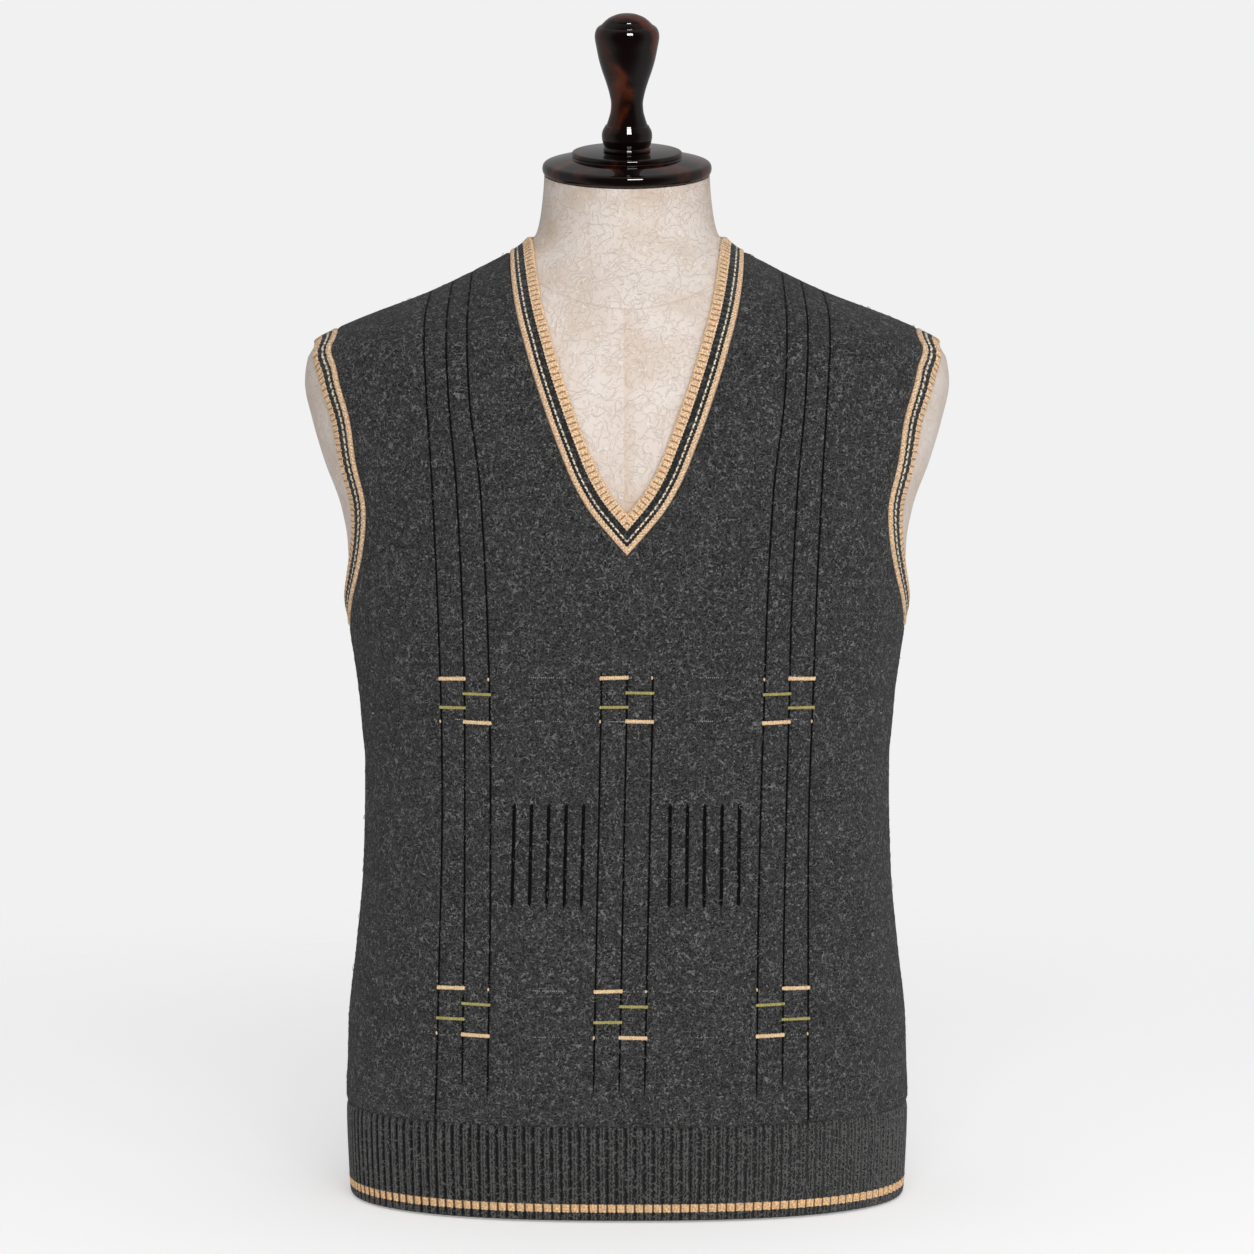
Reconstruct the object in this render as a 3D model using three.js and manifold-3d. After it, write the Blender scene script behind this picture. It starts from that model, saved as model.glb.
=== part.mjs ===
// Knitted V-neck sweater vest on a limbless torso form with a turned neck cap and finial.
// Millimetres, +Z up, the front faces -Y, the origin is on the floor under the form's middle.
// The vest's panels and bands all lie on one figure, the surface that the cloth rests on.
import * as THREE from 'three';
import Module from 'manifold-3d';

const wasm = await Module();
wasm.setup();

// Driving dimensions of the vest
const HEM_HEIGHT = 2;
const RIB_SEAM_HEIGHT = 63.5;
const SHELL_TOP = 652;
const CLOTH_START = 0.5;
const PANEL_FACE = 2.7;
const SEAM_GAP = 0.3;
const SEAM_CUT = 0.6;
const HEM_RIBS = 164;
const BAND_WIDTH = 18;
const NECK_RIB_PITCH = 5;
const ARMHOLE_RIBS = 92;
const NECK_INNER_STEP = 3;
const ARMHOLE_INNER_STEP = 2;
const HEM_INNER_STEP = 8;
const RIB_CREST = 3.2;
const RIB_VALLEY = 2.45;

// Vertical lines of dropped stitches on the front, and the short slots between them
const LINE_WIDTH = 2.2;
const LINE_DEPTH = 0.8;
const CENTRE_LINE_X = 16.8;
const CENTRE_LINE_TOP = 364;
const CENTRE_LINE_END = 84;
const LINE_FADE = 20;
const SLOT_WIDTH = 2.7;
const SLOT_DEPTH = 0.9;
const SLOT_TOP = 276;
const SLOT_BOTTOM = 208;
const SLOT_PITCH = 11.35;
const SLOT_FIRST_X = 28.6;
const SLOT_SHIFT = -0.6;
const SLOT_COUNT = 5;
const SLOT_LEAN = 1.5;

// The lines drift towards -X on their way down, between these heights
const DRIFT_TOP = 346;
const DRIFT_BOTTOM = 130;
const SIDE_DRIFT = 2.7;
const CENTRE_DRIFT = 4.4;

// Armhole seam, seen from the side
const ARMHOLE_MIDDLE = 486.6;
const ARMHOLE_HALF_HEIGHT = 99.9;
const ARMHOLE_HALF_WIDTH = 68;
const ARMHOLE_SQUARE_ABOVE = 2.9;
const ARMHOLE_SQUARE_BELOW = 2.1;
const BACK_NECK_HEIGHT = 641;

// Torso form, neck cap and finial
const FORM_TOP = 730;
const NECK_LEAN = THREE.MathUtils.degToRad(12);
const NECK_TOP_MIDDLE = new THREE.Vector3(0, -12, 692);
const CAP_RADIUS = 57;
const CAP_RIM_HEIGHT = 8.2;
const CAP_HEIGHT = 11.6;
const CAP_LEDGE = 1.4;
const CAP_STEP_RADIUS = 36.8;
const CAP_STEP_HEIGHT = 4;
const CAP_ROUNDING = 3.6;
const CAP_STEP_ROUNDING = 1.6;
const FINIAL_TOP_RISE = 0.7;

// Fineness of the curves
const NUDGE = 0.05;
const QUARTER = Math.PI / 2;
const CAP_EDGE_ROUNDS = 3;
const CAP_SEGMENTS = 36;
const FINIAL_SEGMENTS = 22;
const NECK_LOOP_STEPS = 44;
const PLUG_REACH = 5;
const LEAST_TURN = THREE.MathUtils.degToRad(0.9);

// Tips of the solids that open the neck and the armholes, inside and outside the cloth
const NECK_INNER_TIP = new THREE.Vector3(0, -20, 520);
const NECK_OUTER_TIP = new THREE.Vector3(0, -140, 900);
const ARMHOLE_INNER_TIP = new THREE.Vector3(110, 0, 490);
const ARMHOLE_OUTER_TIP = new THREE.Vector3(330, 0, 535);

// The figure that the cloth rests on, a rounded section at each height:
// half its width, its depth to the front and to the back of its middle, how square it is,
// where its middle lies along Y, and how far inside it the form's own surface is.
const FIGURE = [
  { height: 0, half: 186.2, front: 115, back: 113, square: 2.4, middle: 0, ease: 5 },
  { height: 60, half: 188.4, front: 117, back: 118, square: 2.4, middle: 0, ease: 5 },
  { height: 116, half: 187.5, front: 114, back: 120, square: 2.4, middle: 0, ease: 5 },
  { height: 171, half: 181.8, front: 109, back: 114, square: 2.4, middle: 0, ease: 5.5 },
  { height: 226, half: 176.9, front: 105, back: 103, square: 2.4, middle: 0, ease: 6 },
  { height: 281, half: 175.6, front: 106, back: 97, square: 2.4, middle: 0, ease: 6 },
  { height: 336, half: 178.8, front: 111, back: 98, square: 2.4, middle: 0, ease: 4 },
  { height: 387, half: 185.6, front: 116, back: 102, square: 2.5, middle: 0, ease: 2 },
  { height: 412, half: 189.3, front: 117.6, back: 104.2, square: 2.5, middle: 0, ease: 1.5 },
  { height: 445, half: 190.2, front: 119, back: 107, square: 2.5, middle: 0, ease: 1 },
  { height: 469, half: 194.4, front: 119.5, back: 108, square: 2.4, middle: 0, ease: 0.8 },
  { height: 500, half: 205.6, front: 119, back: 108, square: 2.3, middle: 0, ease: 0.7 },
  { height: 527, half: 213.6, front: 116, back: 107, square: 2.2, middle: 0, ease: 0.7 },
  { height: 554, half: 219.3, front: 111, back: 104, square: 2.15, middle: 0, ease: 1.2 },
  { height: 567, half: 218.1, front: 108, back: 102, square: 2.1, middle: 0, ease: 1.6 },
  { height: 574, half: 215, front: 106, back: 101, square: 2.1, middle: 0, ease: 1.8 },
  { height: 581, half: 206, front: 103, back: 99, square: 2.05, middle: 0, ease: 1.8 },
  { height: 592, half: 182.6, front: 98, back: 96, square: 2, middle: 0, ease: 1.2 },
  { height: 612, half: 130.8, front: 87, back: 88, square: 1.95, middle: 0, ease: 0.7 },
  { height: 626, half: 101.4, front: 78, back: 81, square: 1.95, middle: 0, ease: 0.7 },
  { height: 639, half: 76.8, front: 70, back: 73, square: 2, middle: -1, ease: 0.7 },
  { height: 646, half: 67, front: 65.5, back: 66, square: 2, middle: -2, ease: 0.7 },
  { height: 654, half: 61.4, front: 61.5, back: 61, square: 2, middle: -3.5, ease: 0.7 },
  { height: 670, half: 58.2, front: 58.5, back: 58, square: 2, middle: -7, ease: 0.7 },
  { height: 692, half: 56.3, front: 56.5, back: 56, square: 2, middle: -12, ease: 0.7 },
  { height: FORM_TOP, half: 55.5, front: 55.5, back: 55.5, square: 2, middle: -20, ease: 0.7 },
];

// Neckline seam of the front, from the point of the V up to the shoulder: height and half width
const NECKLINE = [
  { height: 441, half: 0 },
  { height: 451, half: 9 },
  { height: 472, half: 26 },
  { height: 490, half: 36 },
  { height: 510, half: 44.2 },
  { height: 532, half: 52.4 },
  { height: 571, half: 65 },
  { height: 605, half: 73.8 },
  { height: 625, half: 76.6 },
  { height: 650, half: 78.2 },
];

// The three long lines on each side of the front: distance of each from the middle
const LONG_LINES = [
  { height: 60, inner: 88.4, middle: 105.2, outer: 122.4 },
  { height: 180, inner: 88, middle: 105, outer: 121.2 },
  { height: 260, inner: 88.4, middle: 105.4, outer: 120.4 },
  { height: 380, inner: 90.4, middle: 106.6, outer: 122.6 },
  { height: 480, inner: 95, middle: 110.6, outer: 126.6 },
  { height: 548, inner: 103, middle: 116.6, outer: 131 },
  { height: 590, inner: 104.6, middle: 118.4, outer: 133.2 },
  { height: 630, inner: 102.6, middle: 114.6, outer: 127 },
];

// Turned outline of the finial: height along the axis and radius
const FINIAL_OUTLINE = [
  { up: 0, radius: 15.9 },
  { up: 1.2, radius: 16.1 },
  { up: 2.8, radius: 15 },
  { up: 5.4, radius: 16.2 },
  { up: 9, radius: 16.9 },
  { up: 12, radius: 16.8 },
  { up: 15.2, radius: 15.3 },
  { up: 17.6, radius: 13.6 },
  { up: 22.1, radius: 12.2 },
  { up: 27, radius: 11 },
  { up: 31.6, radius: 10.7 },
  { up: 37.9, radius: 11.7 },
  { up: 46, radius: 14 },
  { up: 54.8, radius: 17 },
  { up: 62, radius: 19 },
  { up: 69.6, radius: 20.5 },
  { up: 76.8, radius: 21.6 },
  { up: 80.9, radius: 20.9 },
  { up: 83.4, radius: 19.2 },
  { up: 84.4, radius: 17.3 },
  { up: 87.4, radius: 14.2 },
  { up: 90.2, radius: 9.4 },
  { up: 91.6, radius: 4.9 },
];

// Smooth curve through one column of a table, without overshoot between its rows
function track(rows, key) {
  const at = rows.map((row) => row.height);
  const value = rows.map((row) => row[key]);
  const last = rows.length - 1;
  const rise = [];
  for (let i = 0; i < last; i += 1) {
    rise.push((value[i + 1] - value[i]) / (at[i + 1] - at[i]));
  }
  const slope = rows.map((row, i) => {
    if (i === 0) return rise[0];
    if (i === last) return rise[last - 1];
    const before = rise[i - 1];
    const after = rise[i];
    return before * after <= 0 ? 0 : (2 * before * after) / (before + after);
  });
  return (height) => {
    if (height <= at[0]) return value[0] + Math.min(0, height - at[0]) * slope[0];
    if (height >= at[last]) return value[last];
    let i = 0;
    while (at[i + 1] < height) i += 1;
    const span = at[i + 1] - at[i];
    const t = (height - at[i]) / span;
    const u = 1 - t;
    return value[i] * (1 + 2 * t) * u * u
      + slope[i] * span * t * u * u
      + value[i + 1] * (3 - 2 * t) * t * t
      - slope[i + 1] * span * t * t * u;
  };
}

const figure = {};
for (const key of ['half', 'front', 'back', 'square', 'middle', 'ease']) {
  figure[key] = track(FIGURE, key);
}
const neckHalf = track(NECKLINE, 'half');
const longLines = ['inner', 'middle', 'outer'].map((key) => track(LONG_LINES, key));

// How far out a point is, 1 on the figure itself
function fullness(x, y, height) {
  const fromMiddle = y - figure.middle(height);
  const depth = fromMiddle < 0 ? figure.front(height) : figure.back(height);
  const square = figure.square(height);
  const across = Math.abs(x / figure.half(height)) ** square;
  return (across + Math.abs(fromMiddle / depth) ** square) ** (1 / square);
}

// Point of the figure at a turn from the front (0) towards +X (a quarter turn) and a height
function onFigure(turn, height) {
  const square = figure.square(height);
  const side = Math.sin(turn);
  const face = Math.cos(turn);
  const reach = (Math.abs(side) ** square + Math.abs(face) ** square) ** (-1 / square);
  const depth = face >= 0 ? figure.front(height) : figure.back(height);
  const x = figure.half(height) * side * reach;
  return new THREE.Vector3(x, figure.middle(height) - depth * face * reach, height);
}

// Turn of the point of the front that lies at x
function turnAt(x, height) {
  const square = figure.square(height);
  const side = Math.min(Math.abs(x) / figure.half(height), 1);
  return Math.sign(x) * Math.atan2(side, (1 - side ** square) ** (1 / square));
}

// The nearest way back to the figure for a point that lies beside it
function settle(point) {
  const middle = figure.middle(point.z);
  const shrink = 1 / fullness(point.x, point.y, point.z);
  return new THREE.Vector3(point.x * shrink, middle + (point.y - middle) * shrink, point.z);
}

function normalOf(point) {
  const { x, y, z } = point;
  return new THREE.Vector3(
    fullness(x + NUDGE, y, z) - fullness(x - NUDGE, y, z),
    fullness(x, y + NUDGE, z) - fullness(x, y - NUDGE, z),
    fullness(x, y, z + NUDGE) - fullness(x, y, z - NUDGE),
  ).normalize();
}

function lift(point, distance) {
  return point.clone().addScaledVector(normalOf(point), distance);
}

// A closed skin, gathered as points and triangles, that becomes a solid
class Skin {
  constructor() {
    this.points = [];
    this.faces = [];
  }

  row(points) {
    const start = this.points.length;
    this.points.push(...points);
    return points.map((point, i) => start + i);
  }

  // Triangles between two rows, each point with its key along the row
  zip(lower, upper, lowerKeys, upperKeys) {
    let i = 0;
    let j = 0;
    const lastI = lower.length - 1;
    const lastJ = upper.length - 1;
    while (i < lastI || j < lastJ) {
      const lowerNext = i < lastI ? lowerKeys[i] + lowerKeys[i + 1] : Infinity;
      const upperNext = j < lastJ ? upperKeys[j] + upperKeys[j + 1] : Infinity;
      if (lowerNext <= upperNext) {
        this.faces.push([lower[i], lower[i + 1], upper[j]]);
        i += 1;
      } else {
        this.faces.push([lower[i], upper[j + 1], upper[j]]);
        j += 1;
      }
    }
  }

  fan(middle, ring) {
    const hub = this.row([middle])[0];
    for (let i = 0; i < ring.length; i += 1) {
      this.faces.push([hub, ring[i], ring[(i + 1) % ring.length]]);
    }
  }

  volume() {
    let sum = 0;
    for (const [a, b, c] of this.faces) {
      const cross = this.points[b].clone().cross(this.points[c]);
      sum += this.points[a].dot(cross);
    }
    return sum / 6;
  }

  solid() {
    const turned = this.volume() < 0;
    const corners = this.faces.flatMap(([a, b, c]) => (turned ? [a, c, b] : [a, b, c]));
    const places = this.points.flatMap((point) => point.toArray());
    const mesh = new wasm.Mesh({
      numProp: 3,
      vertProperties: new Float32Array(places),
      triVerts: new Uint32Array(corners),
    });
    return new wasm.Manifold(mesh);
  }
}

// Wall between outer rows and inner rows, a closed tube or an open strip with closed ends
function wall(outerRows, innerRows, outerKeys, innerKeys, closed) {
  const skin = new Skin();
  const outer = outerRows.map((points) => skin.row(points));
  const inner = innerRows.map((points) => skin.row(points));
  if (closed) {
    for (const row of [...outer, ...inner]) row.push(row[0]);
    outerKeys = [...outerKeys, 1];
    innerKeys = [...innerKeys, 1];
  }
  for (let r = 1; r < outer.length; r += 1) {
    skin.zip(outer[r - 1], outer[r], outerKeys, outerKeys);
  }
  for (let r = 1; r < inner.length; r += 1) {
    skin.zip(inner[r], inner[r - 1], innerKeys, innerKeys);
  }
  skin.zip(inner[0], outer[0], innerKeys, outerKeys);
  skin.zip(outer.at(-1), inner.at(-1), outerKeys, innerKeys);
  if (!closed) {
    closeEnd(skin, outer, inner, 0);
    closeEnd(skin, outer, inner, -1);
  }
  return skin;
}

function closeEnd(skin, outer, inner, end) {
  const loop = [
    ...outer.map((row) => row.at(end)),
    ...inner.map((row) => row.at(end)).reverse(),
  ];
  for (let i = 1; i < loop.length - 1; i += 1) {
    const face = [loop[0], loop[i], loop[i + 1]];
    skin.faces.push(end === 0 ? face : face.reverse());
  }
}

function evenly(count, from, to) {
  return Array.from({ length: count + 1 }, (unused, i) => from + ((to - from) * i) / count);
}

// Heights of the rows of a wall: runs of even steps
function heights(start, runs) {
  const list = [start];
  for (const { to, steps } of runs) list.push(...evenly(steps, list.at(-1), to).slice(1));
  return list;
}

function lineDepth(height, top, end) {
  const below = THREE.MathUtils.smoothstep(height, end - LINE_FADE, end + LINE_FADE);
  return LINE_DEPTH * below * (height < top ? 1 : 0);
}

// How far the lines have moved along X at a height
function drift(height, amount) {
  const part = (DRIFT_TOP - height) / (DRIFT_TOP - DRIFT_BOTTOM);
  return -amount * THREE.MathUtils.clamp(part, 0, 1.3);
}

// Turns of the columns on one side of the front, from the middle line outwards, with how deep
// each one is sunk. Columns follow the long lines, and bunch up where the shoulder cuts them off.
function frontColumns(height, side) {
  const between = [1, 3, 1, 1, 4];
  const middle = side * drift(height, CENTRE_DRIFT);
  const outwards = side * drift(height, SIDE_DRIFT);
  const depth = lineDepth(height, SHELL_TOP, CENTRE_LINE_END);
  const centreDepth = lineDepth(height, CENTRE_LINE_TOP, CENTRE_LINE_END);
  const guides = [
    { x: middle + CENTRE_LINE_X, depth: centreDepth },
    ...longLines.map((line) => ({ x: outwards + line(height), depth })),
  ];
  const columns = [
    { turn: turnAt(middle, height), depth: centreDepth },
    { turn: turnAt(middle + LINE_WIDTH / 2, height), depth: 0 },
  ];
  guides.forEach((guide, g) => {
    const start = columns.at(-1).turn;
    const near = turnAt(guide.x - LINE_WIDTH / 2, height);
    for (const turn of evenly(between[g], start, near).slice(1)) columns.push({ turn, depth: 0 });
    columns.push({ turn: turnAt(guide.x, height), depth: guide.depth });
    columns.push({ turn: turnAt(guide.x + LINE_WIDTH / 2, height), depth: 0 });
  });
  const start = columns.at(-1).turn;
  for (const turn of evenly(between.at(-1), start, QUARTER).slice(1)) columns.push({ turn, depth: 0 });
  for (let i = columns.length - 2; i > 0; i -= 1) {
    const limit = QUARTER - LEAST_TURN * (columns.length - 1 - i);
    if (columns[i].turn > limit) {
      columns[i].turn = limit;
      columns[i].depth = 0;
    }
  }
  return columns;
}

// The whole body of the vest as one tube, before it is cut into front and back
function bodyShell() {
  const backColumns = 16;
  const innerColumns = 44;
  const rows = heights(RIB_SEAM_HEIGHT + SEAM_GAP, [
    { to: 250, steps: 4 },
    { to: CENTRE_LINE_TOP, steps: 3 },
    { to: 445, steps: 3 },
    { to: 540, steps: 4 },
    { to: 600, steps: 6 },
    { to: SHELL_TOP, steps: 5 },
  ]);
  const outer = rows.map((height) => {
    const left = frontColumns(height, -1).slice(1).reverse();
    const back = evenly(backColumns, QUARTER, 3 * QUARTER).slice(1, -1);
    const ring = [
      ...left.map(({ turn, depth }) => ({ turn: -turn, depth })),
      ...frontColumns(height, 1),
      ...back.map((turn) => ({ turn, depth: 0 })),
    ];
    return ring.map(({ turn, depth }) => lift(onFigure(turn, height), PANEL_FACE - depth));
  });
  const turns = evenly(innerColumns, -QUARTER, 3 * QUARTER).slice(0, -1);
  const inner = rows.map((height) => turns.map((turn) => lift(onFigure(turn, height), CLOTH_START)));
  const outerKeys = outer[0].map((point) => {
    const turn = Math.atan2(point.x, -point.y);
    return ((turn + QUARTER + 4 * QUARTER) % (4 * QUARTER)) / (4 * QUARTER);
  });
  outerKeys[0] = 0;
  return wall(outer, inner, outerKeys, turns.map((turn, i) => i / innerColumns), true).solid();
}

// Turns that share the girth of the figure at one height equally
function evenTurns(count, height) {
  const fine = evenly(720, -QUARTER, 3 * QUARTER);
  const length = [0];
  for (let i = 1; i < fine.length; i += 1) {
    length.push(length[i - 1] + onFigure(fine[i], height).distanceTo(onFigure(fine[i - 1], height)));
  }
  const turns = [];
  let i = 0;
  for (let k = 0; k < count; k += 1) {
    const goal = (length.at(-1) * k) / count;
    while (length[i + 1] < goal) i += 1;
    const part = (goal - length[i]) / (length[i + 1] - length[i]);
    turns.push(fine[i] + (fine[i + 1] - fine[i]) * part);
  }
  return turns;
}

// The hem rib as one tube, a crest and a valley for each rib over a plain inside
function hemShell() {
  const columns = HEM_RIBS * 2;
  const turns = evenTurns(columns, (HEM_HEIGHT + RIB_SEAM_HEIGHT) / 2);
  const rows = [HEM_HEIGHT, RIB_SEAM_HEIGHT];
  const outer = rows.map((height) => turns.map((turn, i) => (
    lift(onFigure(turn, height), i % 2 === 0 ? RIB_VALLEY : RIB_CREST))));
  const innerTurns = turns.filter((turn, i) => i % HEM_INNER_STEP === 0);
  const inner = rows.map((height) => (
    innerTurns.map((turn) => lift(onFigure(turn, height), CLOTH_START))));
  const keys = turns.map((turn, i) => i / columns);
  return wall(outer, inner, keys, keys.filter((key, i) => i % HEM_INNER_STEP === 0), true).solid();
}

function resample(points, count) {
  const length = [0];
  for (let i = 1; i < points.length; i += 1) {
    length.push(length[i - 1] + points[i].distanceTo(points[i - 1]));
  }
  return evenly(count, 0, length.at(-1)).map((goal) => {
    let i = 1;
    while (i < points.length - 1 && length[i] < goal) i += 1;
    const part = (goal - length[i - 1]) / (length[i] - length[i - 1]);
    return settle(points[i - 1].clone().lerp(points[i], part));
  });
}

// Neckline seam on the +X side, from below the point of the V to past the middle of the back
function neckSeamHalf(before, after) {
  const fine = 160;
  const start = NECKLINE[0].height;
  const points = [];
  if (before > 0) points.push(onFigure(turnAt(-before, start - before), start - before));
  for (let i = 0; i <= fine; i += 1) {
    const height = start + (i * (NECKLINE.at(-1).height - start)) / fine;
    if (neckHalf(height) >= figure.half(height)) break;
    points.push(onFigure(turnAt(neckHalf(height), height), height));
  }
  const shoulder = points.at(-1).z;
  for (const part of evenly(fine, 0, 1 + after).slice(1)) {
    const height = THREE.MathUtils.lerp(shoulder, BACK_NECK_HEIGHT, Math.min(part, 1));
    points.push(onFigure(QUARTER + QUARTER * part, height));
  }
  return points;
}

// Armhole seam on the +X side, a closed loop of evenly spaced points
function armholeSeam(count) {
  const fine = evenly(360, 0, 4 * QUARTER).map((angle) => {
    const up = -Math.cos(angle);
    const square = up > 0 ? ARMHOLE_SQUARE_ABOVE : ARMHOLE_SQUARE_BELOW;
    const reach = (Math.abs(up) ** square + Math.abs(Math.sin(angle)) ** square) ** (-1 / square);
    const height = ARMHOLE_MIDDLE + ARMHOLE_HALF_HEIGHT * up * reach;
    const y = ARMHOLE_HALF_WIDTH * Math.sin(angle) * reach;
    const depth = y < 0 ? figure.front(height) : figure.back(height);
    const across = (1 - Math.abs(y / depth) ** figure.square(height)) ** (1 / figure.square(height));
    return new THREE.Vector3(figure.half(height) * across, y, height);
  });
  return resample(fine, count).slice(0, -1);
}

// Directions in the cloth, square to a seam, for each of its points
function acrossSeam(points, closed) {
  const last = points.length - 1;
  return points.map((point, i) => {
    const before = i > 0 ? points[i - 1] : points[closed ? last : 0];
    const after = i < last ? points[i + 1] : points[closed ? 0 : last];
    const along = after.clone().sub(before);
    return normalOf(point).cross(along).normalize();
  });
}

// Walk over the figure in a straight line
function walk(point, direction, distance) {
  const steps = 4;
  let place = point.clone();
  const heading = direction.clone();
  for (let i = 0; i < steps; i += 1) {
    const normal = normalOf(place);
    heading.addScaledVector(normal, -heading.dot(normal)).normalize();
    place = settle(place.addScaledVector(heading, distance / steps));
  }
  return place;
}

// A solid that removes everything on one side of a seam loop, cut square to the cloth
function plug(loop, shift, innerTip, outerTip) {
  const directions = acrossSeam(loop, true);
  const edge = loop.map((point, i) => walk(point, directions[i], shift));
  const skin = new Skin();
  const inner = skin.row(edge.map((point) => lift(point, -PLUG_REACH)));
  const outer = skin.row(edge.map((point) => lift(point, PLUG_REACH)));
  const keys = [...edge.map((point, i) => i / edge.length), 1];
  skin.zip([...inner, inner[0]], [...outer, outer[0]], keys, keys);
  skin.fan(innerTip, [...inner].reverse());
  skin.fan(outerTip, outer);
  return skin.solid();
}

// A ribbed band from a seam towards its free edge, a crest and a valley in turn
function bandWall(seam, directions, closed, innerStep) {
  const place = (i, part) => walk(seam[i], directions[i], SEAM_GAP / 3 + BAND_WIDTH * part);
  const outer = [0, 1].map((part) => seam.map((point, i) => (
    lift(place(i, part), i % 2 === 0 ? RIB_VALLEY : RIB_CREST))));
  const last = seam.length - 1;
  const chosen = seam.map((point, i) => i).filter((i) => i % innerStep === 0 || (!closed && i === last));
  const inner = [0, 1].map((part) => chosen.map((i) => lift(place(i, part), CLOTH_START)));
  const span = closed ? seam.length : last;
  const keys = seam.map((point, i) => i / span);
  return wall(outer, inner, keys, chosen.map((i) => keys[i]), closed).solid();
}

function flip(points) {
  return points.map((point) => new THREE.Vector3(-point.x, point.y, point.z));
}

// The neck band: one half with its cross-lines square to the seam, cut at the middle plane,
// which gives the mitre at the point of the V, and joined to its mirror image
function neckBand() {
  const seamLength = (points) => points.slice(1).reduce((sum, p, i) => sum + p.distanceTo(points[i]), 0);
  const line = neckSeamHalf(4, 0.03);
  const columns = 2 * Math.round(seamLength(line) / NECK_RIB_PITCH);
  const seam = resample(line, columns);
  const directions = acrossSeam(seam, false);
  const right = bandWall(seam, directions, false, NECK_INNER_STEP);
  const left = bandWall(flip(seam), flip(directions), false, NECK_INNER_STEP);
  return right.intersect(halfSpace('x', 0, 1)).add(left.intersect(halfSpace('x', 0, -1)));
}

// A large block that fills everything on one side of a plane
function halfSpace(axis, at, side) {
  const size = 2000;
  const shift = new THREE.Vector3();
  shift[axis] = at + (side * size) / 2;
  const geometry = new THREE.BoxGeometry(size, size, size);
  geometry.translate(shift.x, shift.y, shift.z);
  return solidOf(geometry);
}

// Solid from a box geometry, its corners merged by place
function solidOf(geometry) {
  const place = geometry.getAttribute('position');
  const skin = new Skin();
  const known = new Map();
  const corner = Array.from({ length: place.count }, (unused, i) => {
    const point = new THREE.Vector3().fromBufferAttribute(place, i);
    const name = point.toArray().map((value) => value.toFixed(3)).join(' ');
    if (!known.has(name)) known.set(name, skin.row([point])[0]);
    return known.get(name);
  });
  const index = geometry.getIndex().array;
  for (let i = 0; i < index.length; i += 3) {
    skin.faces.push([corner[index[i]], corner[index[i + 1]], corner[index[i + 2]]]);
  }
  return skin.solid();
}

// A wedge that sinks one short slot into the face of the front
function slotCutter(xTop, xBottom) {
  const stations = 2;
  const skin = new Skin();
  const rows = evenly(stations, 0, 1).map((part) => {
    const height = THREE.MathUtils.lerp(SLOT_TOP, SLOT_BOTTOM, part);
    const x = THREE.MathUtils.lerp(xTop, xBottom, part);
    const at = (shift, out) => lift(onFigure(turnAt(x + shift, height), height), out);
    return skin.row([
      at(-SLOT_WIDTH / 2, PANEL_FACE + 1),
      at(0, PANEL_FACE - SLOT_DEPTH),
      at(SLOT_WIDTH / 2, PANEL_FACE + 1),
    ]);
  });
  for (let r = 1; r < rows.length; r += 1) {
    for (let i = 0; i < 3; i += 1) {
      const j = (i + 1) % 3;
      skin.faces.push([rows[r - 1][i], rows[r - 1][j], rows[r][j]]);
      skin.faces.push([rows[r - 1][i], rows[r][j], rows[r][i]]);
    }
  }
  skin.faces.push([...rows[0]].reverse());
  skin.faces.push([...rows.at(-1)]);
  return skin.solid();
}

function bodyPanels() {
  const halfLoop = resample(neckSeamHalf(0, 0), NECK_LOOP_STEPS);
  const neckLoop = [...halfLoop, ...flip(halfLoop).slice(1, -1).reverse()];
  const neckPlug = plug(neckLoop, -SEAM_CUT, NECK_INNER_TIP, NECK_OUTER_TIP);
  const armhole = armholeSeam(ARMHOLE_RIBS);
  const inward = armholeInward(armhole);
  const tips = [ARMHOLE_INNER_TIP, ARMHOLE_OUTER_TIP];
  const right = plug(armhole, -inward * SEAM_CUT, ...tips);
  const left = plug(flip(armhole), inward * SEAM_CUT, ...flip(tips));
  const body = bodyShell().subtract(neckPlug).subtract(right).subtract(left);
  let front = body.intersect(halfSpace('y', -SEAM_GAP / 2, -1));
  for (const side of [-1, 1]) {
    for (let i = 0; i < SLOT_COUNT; i += 1) {
      const x = side * (SLOT_FIRST_X + SLOT_PITCH * i) + SLOT_SHIFT;
      front = front.subtract(slotCutter(x + SLOT_LEAN / 2, x - SLOT_LEAN / 2));
    }
  }
  return { front, back: body.intersect(halfSpace('y', SEAM_GAP / 2, 1)) };
}

// Sign that turns the directions across the armhole seam towards the middle of the hole
function armholeInward(seam) {
  const middle = new THREE.Vector3(seam[0].x, 0, ARMHOLE_MIDDLE);
  return Math.sign(acrossSeam(seam, true)[0].dot(middle.sub(seam[0])));
}

function armholeBand(side) {
  const seam = armholeSeam(ARMHOLE_RIBS * 2);
  const inward = armholeInward(seam);
  const directions = acrossSeam(seam, true).map((direction) => direction.multiplyScalar(inward));
  if (side > 0) return bandWall(seam, directions, true, ARMHOLE_INNER_STEP);
  return bandWall(flip(seam), flip(directions), true, ARMHOLE_INNER_STEP);
}

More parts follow.
